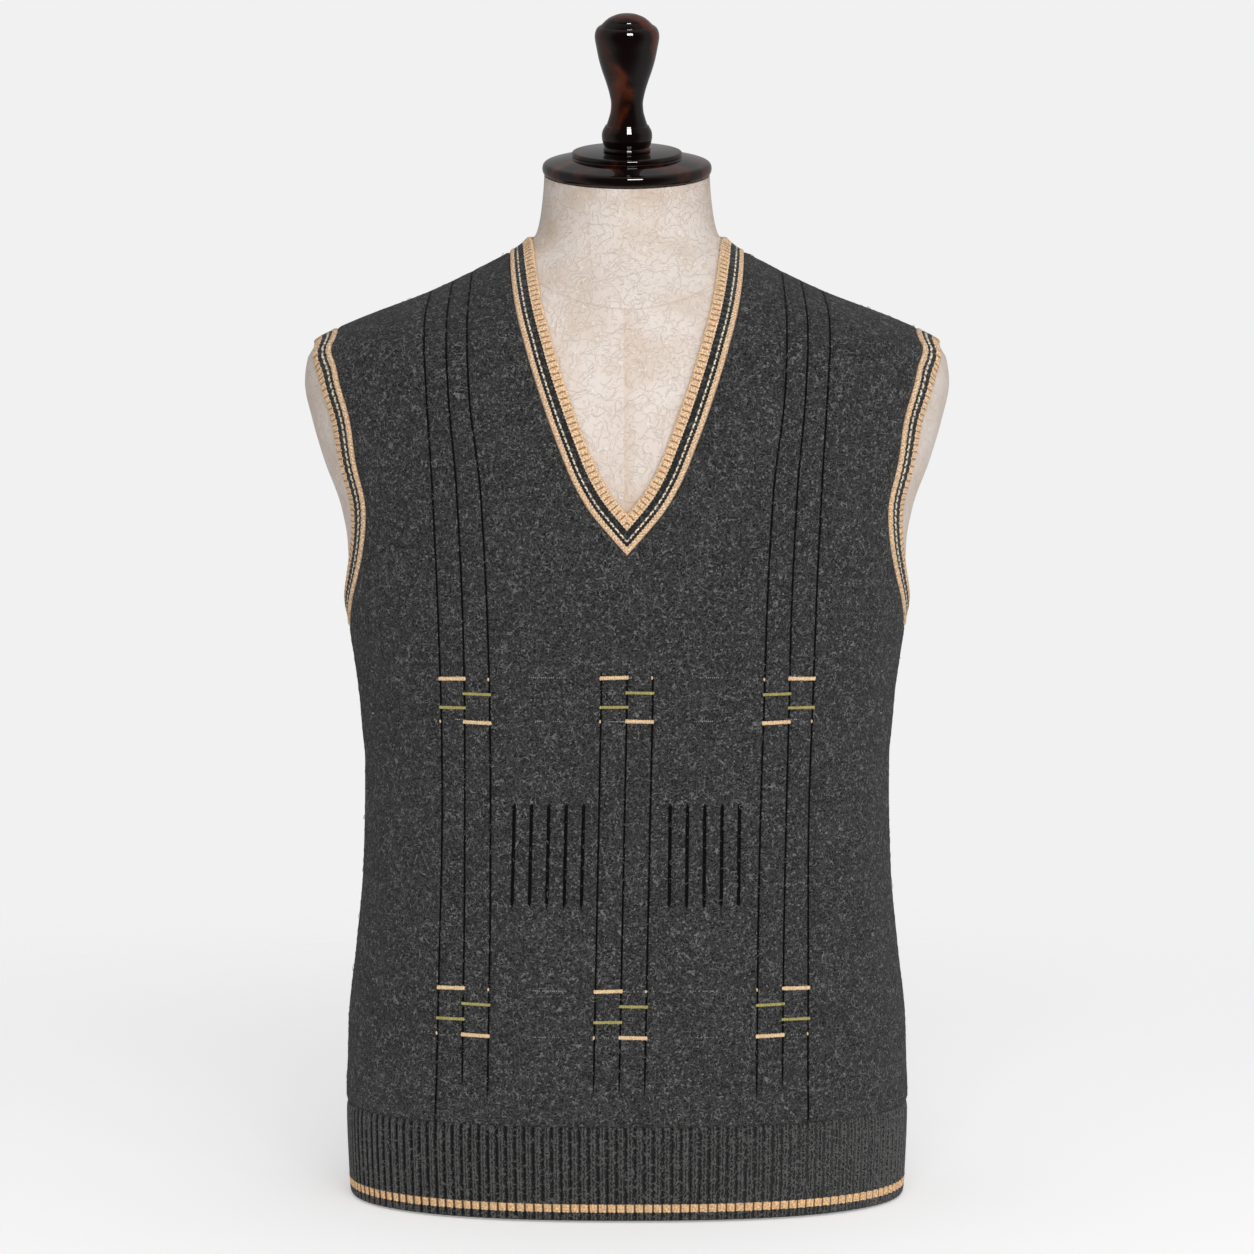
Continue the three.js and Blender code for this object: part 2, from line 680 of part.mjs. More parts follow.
// The form: smooth and whole, flat at the floor, its neck cut square to its lean
function torsoForm() {
  const columns = 36;
  const rows = heights(0, [
    { to: 110, steps: 1 },
    { to: 390, steps: 4 },
    { to: 530, steps: 5 },
    { to: 600, steps: 7 },
    { to: 660, steps: 6 },
    { to: FORM_TOP, steps: 2 },
  ]);
  const turns = evenly(columns, -QUARTER, 3 * QUARTER).slice(0, -1);
  const keys = [...turns.map((turn, i) => i / columns), 1];
  const skin = new Skin();
  const rings = rows.map((height) => skin.row(turns.map((turn) => {
    const point = onFigure(turn, height);
    const inset = lift(point, -figure.ease(height));
    inset.z = height;
    return inset;
  })));
  for (let r = 1; r < rings.length; r += 1) {
    skin.zip([...rings[r - 1], rings[r - 1][0]], [...rings[r], rings[r][0]], keys, keys);
  }
  skin.fan(new THREE.Vector3(0, 0, 0), [...rings[0]].reverse());
  skin.fan(new THREE.Vector3(0, figure.middle(FORM_TOP), FORM_TOP), rings.at(-1));
  const size = 400;
  const above = new THREE.BoxGeometry(size, size, size);
  above.translate(0, 0, size / 2);
  above.rotateX(NECK_LEAN);
  above.translate(NECK_TOP_MIDDLE.x, NECK_TOP_MIDDLE.y, NECK_TOP_MIDDLE.z);
  return skin.solid().subtract(solidOf(above));
}

// The cap in one turning: a rounded rim, a sloping top, and a low step with its own rim
function capOutline() {
  const outline = [new THREE.Vector2(0, 0)];
  const round = (radius, low, high, size) => {
    for (const angle of evenly(CAP_EDGE_ROUNDS, -QUARTER, QUARTER)) {
      const middle = (low + high) / 2;
      const bulge = radius - size + size * Math.cos(angle);
      outline.push(new THREE.Vector2(bulge, middle + ((high - low) / 2) * Math.sin(angle)));
    }
  };
  round(CAP_RADIUS, 0, CAP_RIM_HEIGHT, CAP_ROUNDING);
  outline.push(new THREE.Vector2(CAP_STEP_RADIUS + CAP_LEDGE, CAP_HEIGHT));
  round(CAP_STEP_RADIUS, CAP_HEIGHT, CAP_HEIGHT + CAP_STEP_HEIGHT, CAP_STEP_ROUNDING);
  outline.push(new THREE.Vector2(0, CAP_HEIGHT + CAP_STEP_HEIGHT));
  return outline;
}

function finialOutline() {
  const top = FINIAL_OUTLINE.at(-1);
  return [
    new THREE.Vector2(0, 0),
    ...FINIAL_OUTLINE.map(({ up, radius }) => new THREE.Vector2(radius, up)),
    new THREE.Vector2(0, top.up + FINIAL_TOP_RISE),
  ];
}

// A turned piece on the leaning axis of the neck, a distance above the neck's top
function turning(outline, segments, above) {
  const geometry = new THREE.LatheGeometry(outline, segments);
  geometry.rotateX(QUARTER);
  geometry.translate(0, 0, above);
  const axis = new THREE.Group();
  axis.position.copy(NECK_TOP_MIDDLE);
  axis.rotation.x = NECK_LEAN;
  return { geometry, axis };
}

function geometryOf(solid) {
  const mesh = solid.getMesh();
  const geometry = new THREE.BufferGeometry();
  geometry.setAttribute('position', new THREE.BufferAttribute(mesh.vertProperties, 3));
  geometry.setIndex(new THREE.BufferAttribute(mesh.triVerts, 1));
  geometry.computeVertexNormals();
  return geometry;
}

const MATERIALS = {
  knit: new THREE.MeshStandardMaterial({ color: 0x3b3d3f, roughness: 0.95, metalness: 0 }),
  rib: new THREE.MeshStandardMaterial({ color: 0x35373a, roughness: 0.95, metalness: 0 }),
  form: new THREE.MeshStandardMaterial({ color: 0xe3d8cb, roughness: 0.8, metalness: 0 }),
  lacquer: new THREE.MeshStandardMaterial({ color: 0x1b110e, roughness: 0.12, metalness: 0 }),
};

const group = new THREE.Group();

function addPiece(name, geometry, material, parent = group) {
  const mesh = new THREE.Mesh(geometry, material);
  mesh.name = name;
  parent.add(mesh);
}

const panels = bodyPanels();
addPiece('front_panel', geometryOf(panels.front), MATERIALS.knit);
addPiece('back_panel', geometryOf(panels.back), MATERIALS.knit);

const hem = hemShell();
addPiece('front_hem_rib', geometryOf(hem.intersect(halfSpace('y', -SEAM_GAP / 2, -1))), MATERIALS.rib);
addPiece('back_hem_rib', geometryOf(hem.intersect(halfSpace('y', SEAM_GAP / 2, 1))), MATERIALS.rib);

addPiece('neck_band', geometryOf(neckBand()), MATERIALS.rib);
addPiece('armhole_band_right', geometryOf(armholeBand(1)), MATERIALS.rib);
addPiece('armhole_band_left', geometryOf(armholeBand(-1)), MATERIALS.rib);
addPiece('form_torso', geometryOf(torsoForm()), MATERIALS.form);

const cap = turning(capOutline(), CAP_SEGMENTS, SEAM_GAP);
addPiece('neck_cap', cap.geometry, MATERIALS.lacquer, cap.axis);
const finial = turning(finialOutline(), FINIAL_SEGMENTS, CAP_HEIGHT + CAP_STEP_HEIGHT + 2 * SEAM_GAP);
addPiece('finial', finial.geometry, MATERIALS.lacquer, finial.axis);
group.add(cap.axis, finial.axis);

export default group;
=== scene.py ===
"""Looks of a knitted V-neck sweater vest that hangs on a limbless torso form with a turned cap.

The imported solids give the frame. The cloth here is drawn again over the same figure, finer than
the solids: shells of jersey with sunk ladder lines, soft creases and seams, ribbing with striped
edges, raised yarn floats and loose fibres. Lengths are millimetres until a mesh is made.
"""

import logging
import math
from dataclasses import dataclass, field
from enum import Enum
from typing import Callable, Mapping, Sequence

import bmesh
import bpy
import numpy as np
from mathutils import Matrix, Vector


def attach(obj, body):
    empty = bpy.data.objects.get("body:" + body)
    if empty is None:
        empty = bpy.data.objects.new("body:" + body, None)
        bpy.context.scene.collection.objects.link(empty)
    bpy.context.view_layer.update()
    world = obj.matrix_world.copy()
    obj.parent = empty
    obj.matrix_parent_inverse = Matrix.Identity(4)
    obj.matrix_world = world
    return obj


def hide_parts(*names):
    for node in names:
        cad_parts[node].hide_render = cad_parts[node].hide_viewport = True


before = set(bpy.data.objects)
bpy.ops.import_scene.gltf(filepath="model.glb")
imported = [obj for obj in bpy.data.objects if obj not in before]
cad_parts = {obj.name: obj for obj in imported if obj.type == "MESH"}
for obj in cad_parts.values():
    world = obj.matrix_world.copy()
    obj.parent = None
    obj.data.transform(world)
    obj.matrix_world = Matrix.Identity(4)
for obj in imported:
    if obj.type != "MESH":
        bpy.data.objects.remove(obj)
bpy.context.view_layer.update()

log = logging.getLogger("vest")

MM = 0.001
QUARTER = math.pi / 2
NUDGE = 0.05
SEAM_GAP = 0.3

Face = tuple[int, ...]
Table = Sequence[tuple[float, ...]]


class Side(Enum):
    """The half of the vest that a piece belongs to."""

    FRONT = 0
    BACK = 1


class Hand(Enum):
    """The side of the body that a piece lies on, as the sign of its X."""

    LEFT = -1
    RIGHT = 1


def linear(code: str) -> tuple[float, float, float, float]:
    """Turn an sRGB colour into the linear one that a shader takes.

    Args:
        code: Six hex digits after a hash.

    Returns:
        Red, green, blue and an alpha of 1.
    """
    channels = [int(code[i : i + 2], 16) / 255 for i in (1, 3, 5)]
    low, high = 12.92, 1.055
    flat = [c / low if c <= 0.04045 else ((c + high - 1) / high) ** 2.4 for c in channels]
    return (flat[0], flat[1], flat[2], 1.0)


def add(
    tree: bpy.types.NodeTree,
    kind: str,
    inputs: Mapping[int | str, object] | None = None,
    out: int | str = 0,
    **settings: object,
) -> bpy.types.NodeSocket:
    """Add one node with its settings and links.

    Args:
        tree: The tree that gets the node.
        kind: The node's type.
        inputs: Values or sockets, by the input's number or name.
        out: Which output to give back.
        **settings: Properties of the node.

    Returns:
        The chosen output, or the first input of a node that has no output.
    """
    node = tree.nodes.new(kind)
    for name, value in settings.items():
        setattr(node, name, value)
    for key, value in (inputs or {}).items():
        socket = node.inputs[key]
        if isinstance(value, bpy.types.NodeSocket):
            tree.links.new(value, socket)
        else:
            socket.default_value = value
    return node.outputs[out] if len(node.outputs) else node.inputs[0]


def smooth(value: np.ndarray, low: float, high: float) -> np.ndarray:
    """Rise from 0 at low to 1 at high with level ends, or fall where low is above high."""
    part = np.clip((value - low) / (high - low), 0, 1)
    return part * part * (3 - 2 * part)


class Track:
    """A smooth curve through the rows of a table, with no overshoot between them."""

    def __init__(self, at: Sequence[float], value: Sequence[float]) -> None:
        """Work out the slope at each row.

        Args:
            at: Rising places of the rows.
            value: The value at each of them.
        """
        self.at = np.array(at, float)
        self.value = np.array(value, float)
        rise = np.diff(self.value) / np.diff(self.at)
        before, after = rise[:-1], rise[1:]
        total = np.where(before + after == 0, 1, before + after)
        middle = np.where(before * after <= 0, 0, 2 * before * after / total)
        self.slope = np.concatenate([rise[:1], middle, rise[-1:]])

    def __call__(self, place: np.ndarray | float) -> np.ndarray:
        """Give the curve's value at one place or at an array of them."""
        place = np.asarray(place, float)
        inside = np.clip(place, self.at[0], self.at[-1])
        i = np.clip(np.searchsorted(self.at, inside) - 1, 0, len(self.at) - 2)
        span = self.at[i + 1] - self.at[i]
        t = (inside - self.at[i]) / span
        u = 1 - t
        curve = self.value[i] * (1 + 2 * t) * u * u + self.slope[i] * span * t * u * u
        curve += self.value[i + 1] * (3 - 2 * t) * t * t - self.slope[i + 1] * span * t * t * u
        return curve + np.minimum(0, place - self.at[0]) * self.slope[0]


@dataclass(frozen=True)
class Figure:
    """The surface that the cloth rests on, a rounded section at each height.

    A row gives the height, half the width, the depth to the front and to the back of the
    section's middle, how square it is, its middle along Y, and how far inside it the form is.
    """

    sections: Table = (
        (0, 186.2, 115, 113, 2.4, 0, 5),
        (60, 188.4, 117, 118, 2.4, 0, 5),
        (116, 187.5, 114, 120, 2.4, 0, 5),
        (171, 181.8, 109, 114, 2.4, 0, 5.5),
        (226, 176.9, 105, 103, 2.4, 0, 6),
        (281, 175.6, 106, 97, 2.4, 0, 6),
        (336, 178.8, 111, 98, 2.4, 0, 4),
        (387, 185.6, 116, 102, 2.5, 0, 2),
        (412, 189.3, 117.6, 104.2, 2.5, 0, 1.5),
        (445, 190.2, 119, 107, 2.5, 0, 1),
        (469, 194.4, 119.5, 108, 2.4, 0, 0.8),
        (500, 205.6, 119, 108, 2.3, 0, 0.7),
        (527, 213.6, 116, 107, 2.2, 0, 0.7),
        (554, 219.3, 111, 104, 2.15, 0, 1.2),
        (567, 218.1, 108, 102, 2.1, 0, 1.6),
        (574, 215, 106, 101, 2.1, 0, 1.8),
        (581, 206, 103, 99, 2.05, 0, 1.8),
        (592, 182.6, 98, 96, 2, 0, 1.2),
        (612, 130.8, 87, 88, 1.95, 0, 0.7),
        (626, 101.4, 78, 81, 1.95, 0, 0.7),
        (639, 76.8, 70, 73, 2, -1, 0.7),
        (646, 67, 65.5, 66, 2, -2, 0.7),
        (654, 61.4, 61.5, 61, 2, -3.5, 0.7),
        (670, 58.2, 58.5, 58, 2, -7, 0.7),
        (692, 56.3, 56.5, 56, 2, -12, 0.7),
        (730, 55.5, 55.5, 55.5, 2, -20, 0.7),
    )

    def track(self, column: int) -> Track:
        """Give the curve through one column of the table."""
        return Track([row[0] for row in self.sections], [row[column] for row in self.sections])

    def __post_init__(self) -> None:
        """Make a curve of each column once."""
        names = ("half", "front", "back", "square", "middle", "ease")
        for column, name in enumerate(names, start=1):
            object.__setattr__(self, name, self.track(column))

    def fullness(self, points: np.ndarray) -> np.ndarray:
        """Say how far out points are, 1 on the figure itself."""
        height = points[..., 2]
        off = points[..., 1] - self.middle(height)
        depth = np.where(off < 0, self.front(height), self.back(height))
        square = self.square(height)
        across = np.abs(points[..., 0] / self.half(height)) ** square
        return (across + np.abs(off / depth) ** square) ** (1 / square)

    def point(self, turn: np.ndarray, height: np.ndarray) -> np.ndarray:
        """Find points of the figure.

        Args:
            turn: Angles from the front, 0, towards +X, a quarter turn.
            height: Heights, of the same shape.

        Returns:
            The points, with X, Y and Z along the last axis.
        """
        turn, height = np.broadcast_arrays(np.asarray(turn, float), np.asarray(height, float))
        square = self.square(height)
        side, face = np.sin(turn), np.cos(turn)
        reach = (np.abs(side) ** square + np.abs(face) ** square) ** (-1 / square)
        depth = np.where(face >= 0, self.front(height), self.back(height))
        y = self.middle(height) - depth * face * reach
        return np.stack([self.half(height) * side * reach, y, height], axis=-1)

    def turn_at(self, x: np.ndarray, height: np.ndarray) -> np.ndarray:
        """Give the turn of the points of the front that lie at x."""
        square = self.square(height)
        side = np.minimum(np.abs(x) / self.half(height), 1)
        return np.sign(x) * np.arctan2(side, (1 - side**square) ** (1 / square))

    def settle(self, points: np.ndarray) -> np.ndarray:
        """Bring points that lie beside the figure back onto it, at their own heights."""
        shrink = 1 / self.fullness(points)
        middle = self.middle(points[..., 2])
        y = middle + (points[..., 1] - middle) * shrink
        return np.stack([points[..., 0] * shrink, y, points[..., 2]], axis=-1)

    def normal(self, points: np.ndarray) -> np.ndarray:
        """Give the outward directions of the figure at points."""
        steps = np.eye(3) * NUDGE
        rise = [self.fullness(points + step) - self.fullness(points - step) for step in steps]
        return unit(np.stack(rise, axis=-1))

    def lift(self, points: np.ndarray, distance: np.ndarray | float) -> np.ndarray:
        """Move points of the figure outwards."""
        return points + self.normal(points) * np.asarray(distance, float)[..., None]

    def walk(self, points: np.ndarray, headings: np.ndarray, marks: Sequence[float]) -> np.ndarray:
        """Walk over the figure from points, and note each place on the way.

        Args:
            points: Where each walk starts.
            headings: Unit directions to walk in.
            marks: Rising distances to note.

        Returns:
            The places, with the marks along the first axis.
        """
        place, gone, noted = points, 0.0, []
        for mark in marks:
            steps = max(1, math.ceil((mark - gone) / 2))
            for _ in range(steps):
                normal = self.normal(place)
                headings = unit(headings - normal * np.sum(headings * normal, -1, keepdims=True))
                place = self.settle(place + headings * (mark - gone) / steps)
            gone = mark
            noted.append(place)
        return np.stack(noted)


def unit(vectors: np.ndarray) -> np.ndarray:
    """Scale vectors to length 1."""
    return vectors / np.linalg.norm(vectors, axis=-1, keepdims=True)


def lengths(points: np.ndarray) -> np.ndarray:
    """Give the length of a line from its start to each of its points."""
    steps = np.linalg.norm(np.diff(points, axis=0), axis=-1)
    return np.concatenate([[0.0], np.cumsum(steps)])


def resample(points: np.ndarray, count: int) -> np.ndarray:
    """Place points evenly along a line.

    Args:
        points: The line's own points.
        count: How many equal steps to make.

    Returns:
        One point more than there are steps.
    """
    along = lengths(points)
    goals = np.linspace(0, along[-1], count + 1)
    return np.stack([np.interp(goals, along, points[:, k]) for k in range(3)], axis=-1)


def distance_to(line: np.ndarray, points: np.ndarray) -> np.ndarray:
    """Measure how far points are from a line.

    Args:
        line: The line's points, in order.
        points: The points to measure.

    Returns:
        A distance for each point.
    """
    start, step = line[:-1], np.diff(line, axis=0)
    square = np.sum(step * step, -1)
    found = []
    for part in np.array_split(points, max(1, len(points) // 4000)):
        off = part[:, None, :] - start
        t = np.clip(np.sum(off * step, -1) / square, 0, 1)
        gap = np.linalg.norm(off - t[..., None] * step, axis=-1)
        found.append(gap.min(axis=1))
    return np.concatenate(found)


@dataclass
class Patch:
    """Polygons with a row of values for each of their corners."""

    faces: list[Face]
    data: np.ndarray

    def cut(self, value: np.ndarray, both: bool = False) -> "Patch":
        """Cut the polygons where a value changes its sign.

        Args:
            value: One number for each corner. Its positive side is kept.
            both: Keep the negative side too, with the cut as new edges.

        Returns:
            The patch that is left.
        """
        value = np.where(np.abs(value) < 1e-6, 1e-6, value)
        inside = value > 0
        made: dict[tuple[int, int], int] = {}
        rows: list[np.ndarray] = []
        faces: list[Face] = []
        for face in self.faces:
            flags = [bool(inside[i]) for i in face]
            if all(flags) or (both and not any(flags)):
                faces.append(face)
                continue
            if not any(flags):
                continue
            halves: dict[bool, list[int]] = {True: [], False: []}
            for here, after in zip(face, face[1:] + face[:1]):
                halves[bool(inside[here])].append(here)
                if inside[here] == inside[after]:
                    continue
                key = (min(here, after), max(here, after))
                if key not in made:
                    part = value[here] / (value[here] - value[after])
                    made[key] = len(self.data) + len(rows)
                    rows.append(self.data[here] + (self.data[after] - self.data[here]) * part)
                halves[True].append(made[key])
                halves[False].append(made[key])
            faces += [tuple(halves[kept]) for kept in ((True, False) if both else (True,))]
        data = np.vstack([self.data, *[row[None] for row in rows]]) if rows else self.data
        return Patch(faces, data).tidied()

    def tidied(self) -> "Patch":
        """Drop the corners that no polygon uses."""
        used = sorted({i for face in self.faces for i in face})
        place = {old: new for new, old in enumerate(used)}
        faces = [tuple(place[i] for i in face) for face in self.faces]
        return Patch(faces, self.data[used])


def lattice(rows: int, columns: int, closed: bool = False) -> list[Face]:
    """Quads between rows of corners.

    Args:
        rows: How many rows there are.
        columns: How many corners a row has.
        closed: Join each row's last corner to its first.

    Returns:
        The quads, with each row's corners numbered after those of the row before.
    """
    last = columns if closed else columns - 1
    faces = []
    for r in range(rows - 1):
        for c in range(last):
            after = (c + 1) % columns
            near, far = r * columns, (r + 1) * columns
            faces.append((near + c, near + after, far + after, far + c))
    return faces


def rim(faces: Sequence[Face]) -> list[tuple[int, int]]:
    """Find the edges that only one polygon uses, in that polygon's direction."""
    edges = {(a, b) for face in faces for a, b in zip(face, face[1:] + face[:1])}
    return [(a, b) for a, b in edges if (b, a) not in edges]


def make_object(
    name: str,
    points: np.ndarray,
    faces: Sequence[Face],
    uv: np.ndarray | None = None,
    **marks: np.ndarray,
) -> bpy.types.Object:
    """Make a mesh object from millimetres.

    Args:
        name: The piece's name.
        points: Its corners.
        faces: Its polygons.
        uv: A pair of millimetres for each polygon corner, in the polygons' order.
        **marks: Float attributes, one number for each corner.

    Returns:
        The object, at the origin.
    """
    mesh = bpy.data.meshes.new(name)
    mesh.from_pydata((points * MM).tolist(), [], [list(face) for face in faces])
    if uv is not None:
        layer = mesh.uv_layers.new(name="cloth")
        layer.data.foreach_set("uv", uv.astype(np.float32).ravel())
    for mark, values in marks.items():
        attribute = mesh.attributes.new(mark, "FLOAT", "POINT")
        attribute.data.foreach_set("value", values.astype(np.float32))
    mesh.update()
    if faces:
        mesh.shade_smooth()
    piece = bpy.data.objects.new(name, mesh)
    bpy.context.scene.collection.objects.link(piece)
    return piece


def repair(piece: bpy.types.Object, weld: float = 0.001) -> None:
    """Merge a mesh's doubles and turn its faces outwards.

    Args:
        piece: The object.
        weld: How near doubles lie, in millimetres.
    """
    net = bmesh.new()
    net.from_mesh(piece.data)
    bmesh.ops.remove_doubles(net, verts=net.verts, dist=weld * MM)
    bmesh.ops.recalc_face_normals(net, faces=net.faces)
    net.to_mesh(piece.data)
    net.free()
    piece.data.update()


def grow(piece: bpy.types.Object, tree: bpy.types.NodeTree, **inputs: object) -> bpy.types.Object:
    """Run a geometry tree on a piece and keep the result as its plain mesh.

    Args:
        piece: The object that the tree starts from.
        tree: The tree.
        **inputs: The tree's named inputs, with underscores for spaces.

    Returns:
        The same object.
    """
    modifier = piece.modifiers.new(tree.name, "NODES")
    modifier.node_group = tree
    for item in tree.interface.items_tree:
        key = item.name.replace(" ", "_")
        if item.item_type == "SOCKET" and key in inputs:
            modifier[item.identifier] = inputs[key]
    graph = bpy.context.evaluated_depsgraph_get()
    mesh = bpy.data.meshes.new_from_object(piece.evaluated_get(graph))
    piece.modifiers.clear()
    piece.data = mesh
    return piece


def new_tree(name: str, inputs: Mapping[str, tuple[str, object]]) -> bpy.types.NodeTree:
    """Start a geometry tree.

    Args:
        name: The tree's name.
        inputs: Socket type and default of each named input after the geometry.

    Returns:
        The tree, with its group's inputs and outputs declared.
    """
    tree = bpy.data.node_groups.new(name, "GeometryNodeTree")
    tree.interface.new_socket("Geometry", in_out="INPUT", socket_type="NodeSocketGeometry")
    tree.interface.new_socket("Geometry", in_out="OUTPUT", socket_type="NodeSocketGeometry")
    for label, (kind, default) in inputs.items():
        socket = tree.interface.new_socket(label, in_out="INPUT", socket_type=kind)
        if default is not None:
            socket.default_value = default
    return tree


def close_tree(tree: bpy.types.NodeTree, geometry: bpy.types.NodeSocket, group: bpy.types.Node) -> None:
    """End a geometry tree in realized instances with one material.

    Args:
        tree: The tree.
        geometry: What it has made.
        group: Its input node, with the material.
    """
    real = add(tree, "GeometryNodeRealizeInstances", {0: geometry})
    inputs = {"Geometry": real, "Material": group.outputs["Material"]}
    dressed = add(tree, "GeometryNodeSetMaterial", inputs)
    add(tree, "NodeGroupOutput", {0: dressed})


def ribbing_tree() -> bpy.types.NodeTree:
    """Raise round ribs with narrow furrows along a band.

    Returns:
        A tree that reads the band's attributes along, in millimetres, and relief, from 0 to 1.
    """
    floats = {"Pitch": ("NodeSocketFloat", 5.0), "Rise": ("NodeSocketFloat", 0.8)}
    floats["Roundness"] = ("NodeSocketFloat", 0.5)
    tree = new_tree("Ribbing", {**floats, "Material": ("NodeSocketMaterial", None)})
    group = add(tree, "NodeGroupInput").node
    along, relief = (
        add(tree, "GeometryNodeInputNamedAttribute", {"Name": name}, data_type="FLOAT")
        for name in ("along", "relief")
    )
    phase = add(tree, "ShaderNodeMath", {0: along, 1: group.outputs["Pitch"]}, operation="DIVIDE")
    half_turns = add(tree, "ShaderNodeMath", {0: phase, 1: math.pi}, operation="MULTIPLY")
    wave = add(tree, "ShaderNodeMath", {0: half_turns}, operation="SINE")
    bare = add(tree, "ShaderNodeMath", {0: wave}, operation="ABSOLUTE")
    round_top = add(tree, "ShaderNodeMath", {0: bare, 1: group.outputs["Roundness"]}, operation="POWER")
    share = add(tree, "ShaderNodeMath", {0: round_top, 1: relief}, operation="MULTIPLY")
    rise = add(tree, "ShaderNodeMath", {0: share, 1: group.outputs["Rise"]}, operation="MULTIPLY")
    metres = add(tree, "ShaderNodeMath", {0: rise, 1: MM}, operation="MULTIPLY")
    normal = add(tree, "GeometryNodeInputNormal")
    offset = add(tree, "ShaderNodeVectorMath", {0: normal, "Scale": metres}, operation="SCALE")
    inputs = {"Geometry": group.outputs["Geometry"], "Offset": offset}
    close_tree(tree, add(tree, "GeometryNodeSetPosition", inputs), group)
    return tree


def stitches_tree() -> bpy.types.NodeTree:
    """Lay short yarn stitches side by side along the edges of a mesh.

    Returns:
        A tree that reads the edges' attribute out, the way the cloth faces.
    """
    floats = {"Pitch": 1.2, "Width": 1.4, "Height": 3.0, "Bulge": 1.2, "Keep": 1.0}
    sockets = {name: ("NodeSocketFloat", value) for name, value in floats.items()}
    sockets["Seed"] = ("NodeSocketInt", 0)
    sockets["Material"] = ("NodeSocketMaterial", None)
    tree = new_tree("Yarn stitches", sockets)
    group = add(tree, "NodeGroupInput").node
    given = group.outputs
    curve = add(tree, "GeometryNodeMeshToCurve", {0: given["Geometry"]})
    pitch = add(tree, "ShaderNodeMath", {0: given["Pitch"], 1: MM}, operation="MULTIPLY")
    row = add(tree, "GeometryNodeCurveToPoints", {"Curve": curve, "Length": pitch}, mode="LENGTH").node
    out = add(tree, "GeometryNodeInputNamedAttribute", {"Name": "out"}, data_type="FLOAT_VECTOR")
    axes = {"Primary Axis": out, "Secondary Axis": row.outputs["Tangent"]}
    facing = add(tree, "FunctionNodeAxesToRotation", axes, primary_axis="Z", secondary_axis="X")
    lean = {0: (-0.05, -0.05, -0.14), 1: (0.05, 0.05, 0.14), "Seed": given["Seed"]}
    lean_by = add(tree, "FunctionNodeRandomValue", lean, data_type="FLOAT_VECTOR")
    euler = add(tree, "FunctionNodeEulerToRotation", {0: lean_by})
    turned = {"Rotation": facing, "Rotate By": euler}
    rotation = add(tree, "FunctionNodeRotateRotation", turned, rotation_space="LOCAL")
    size = add(
        tree,
        "ShaderNodeCombineXYZ",
        {0: given["Width"], 1: given["Height"], 2: given["Bulge"]},
    )
    spread = {0: (0.86, 0.9, 0.86), 1: (1.12, 1.08, 1.12), "Seed": given["Seed"]}
    vary = add(tree, "FunctionNodeRandomValue", spread, data_type="FLOAT_VECTOR")
    uneven = add(tree, "ShaderNodeVectorMath", {0: size, 1: vary}, operation="MULTIPLY")
    scale = add(tree, "ShaderNodeVectorMath", {0: uneven, "Scale": MM}, operation="SCALE")
    chance = {"Probability": given["Keep"], "Seed": given["Seed"]}
    kept = add(tree, "FunctionNodeRandomValue", chance, out=3, data_type="BOOLEAN")
    bead = add(tree, "GeometryNodeMeshUVSphere", {"Segments": 8, "Rings": 6, "Radius": 0.5})
    beads = {"Points": row.outputs["Points"], "Selection": kept, "Instance": bead}
    beads.update({"Rotation": rotation, "Scale": scale})
    close_tree(tree, add(tree, "GeometryNodeInstanceOnPoints", beads), group)
    return tree


FIBRE_ARCS = ((1.0, 200.0), (1.6, 140.0), (2.2, 110.0), (0.8, 250.0))


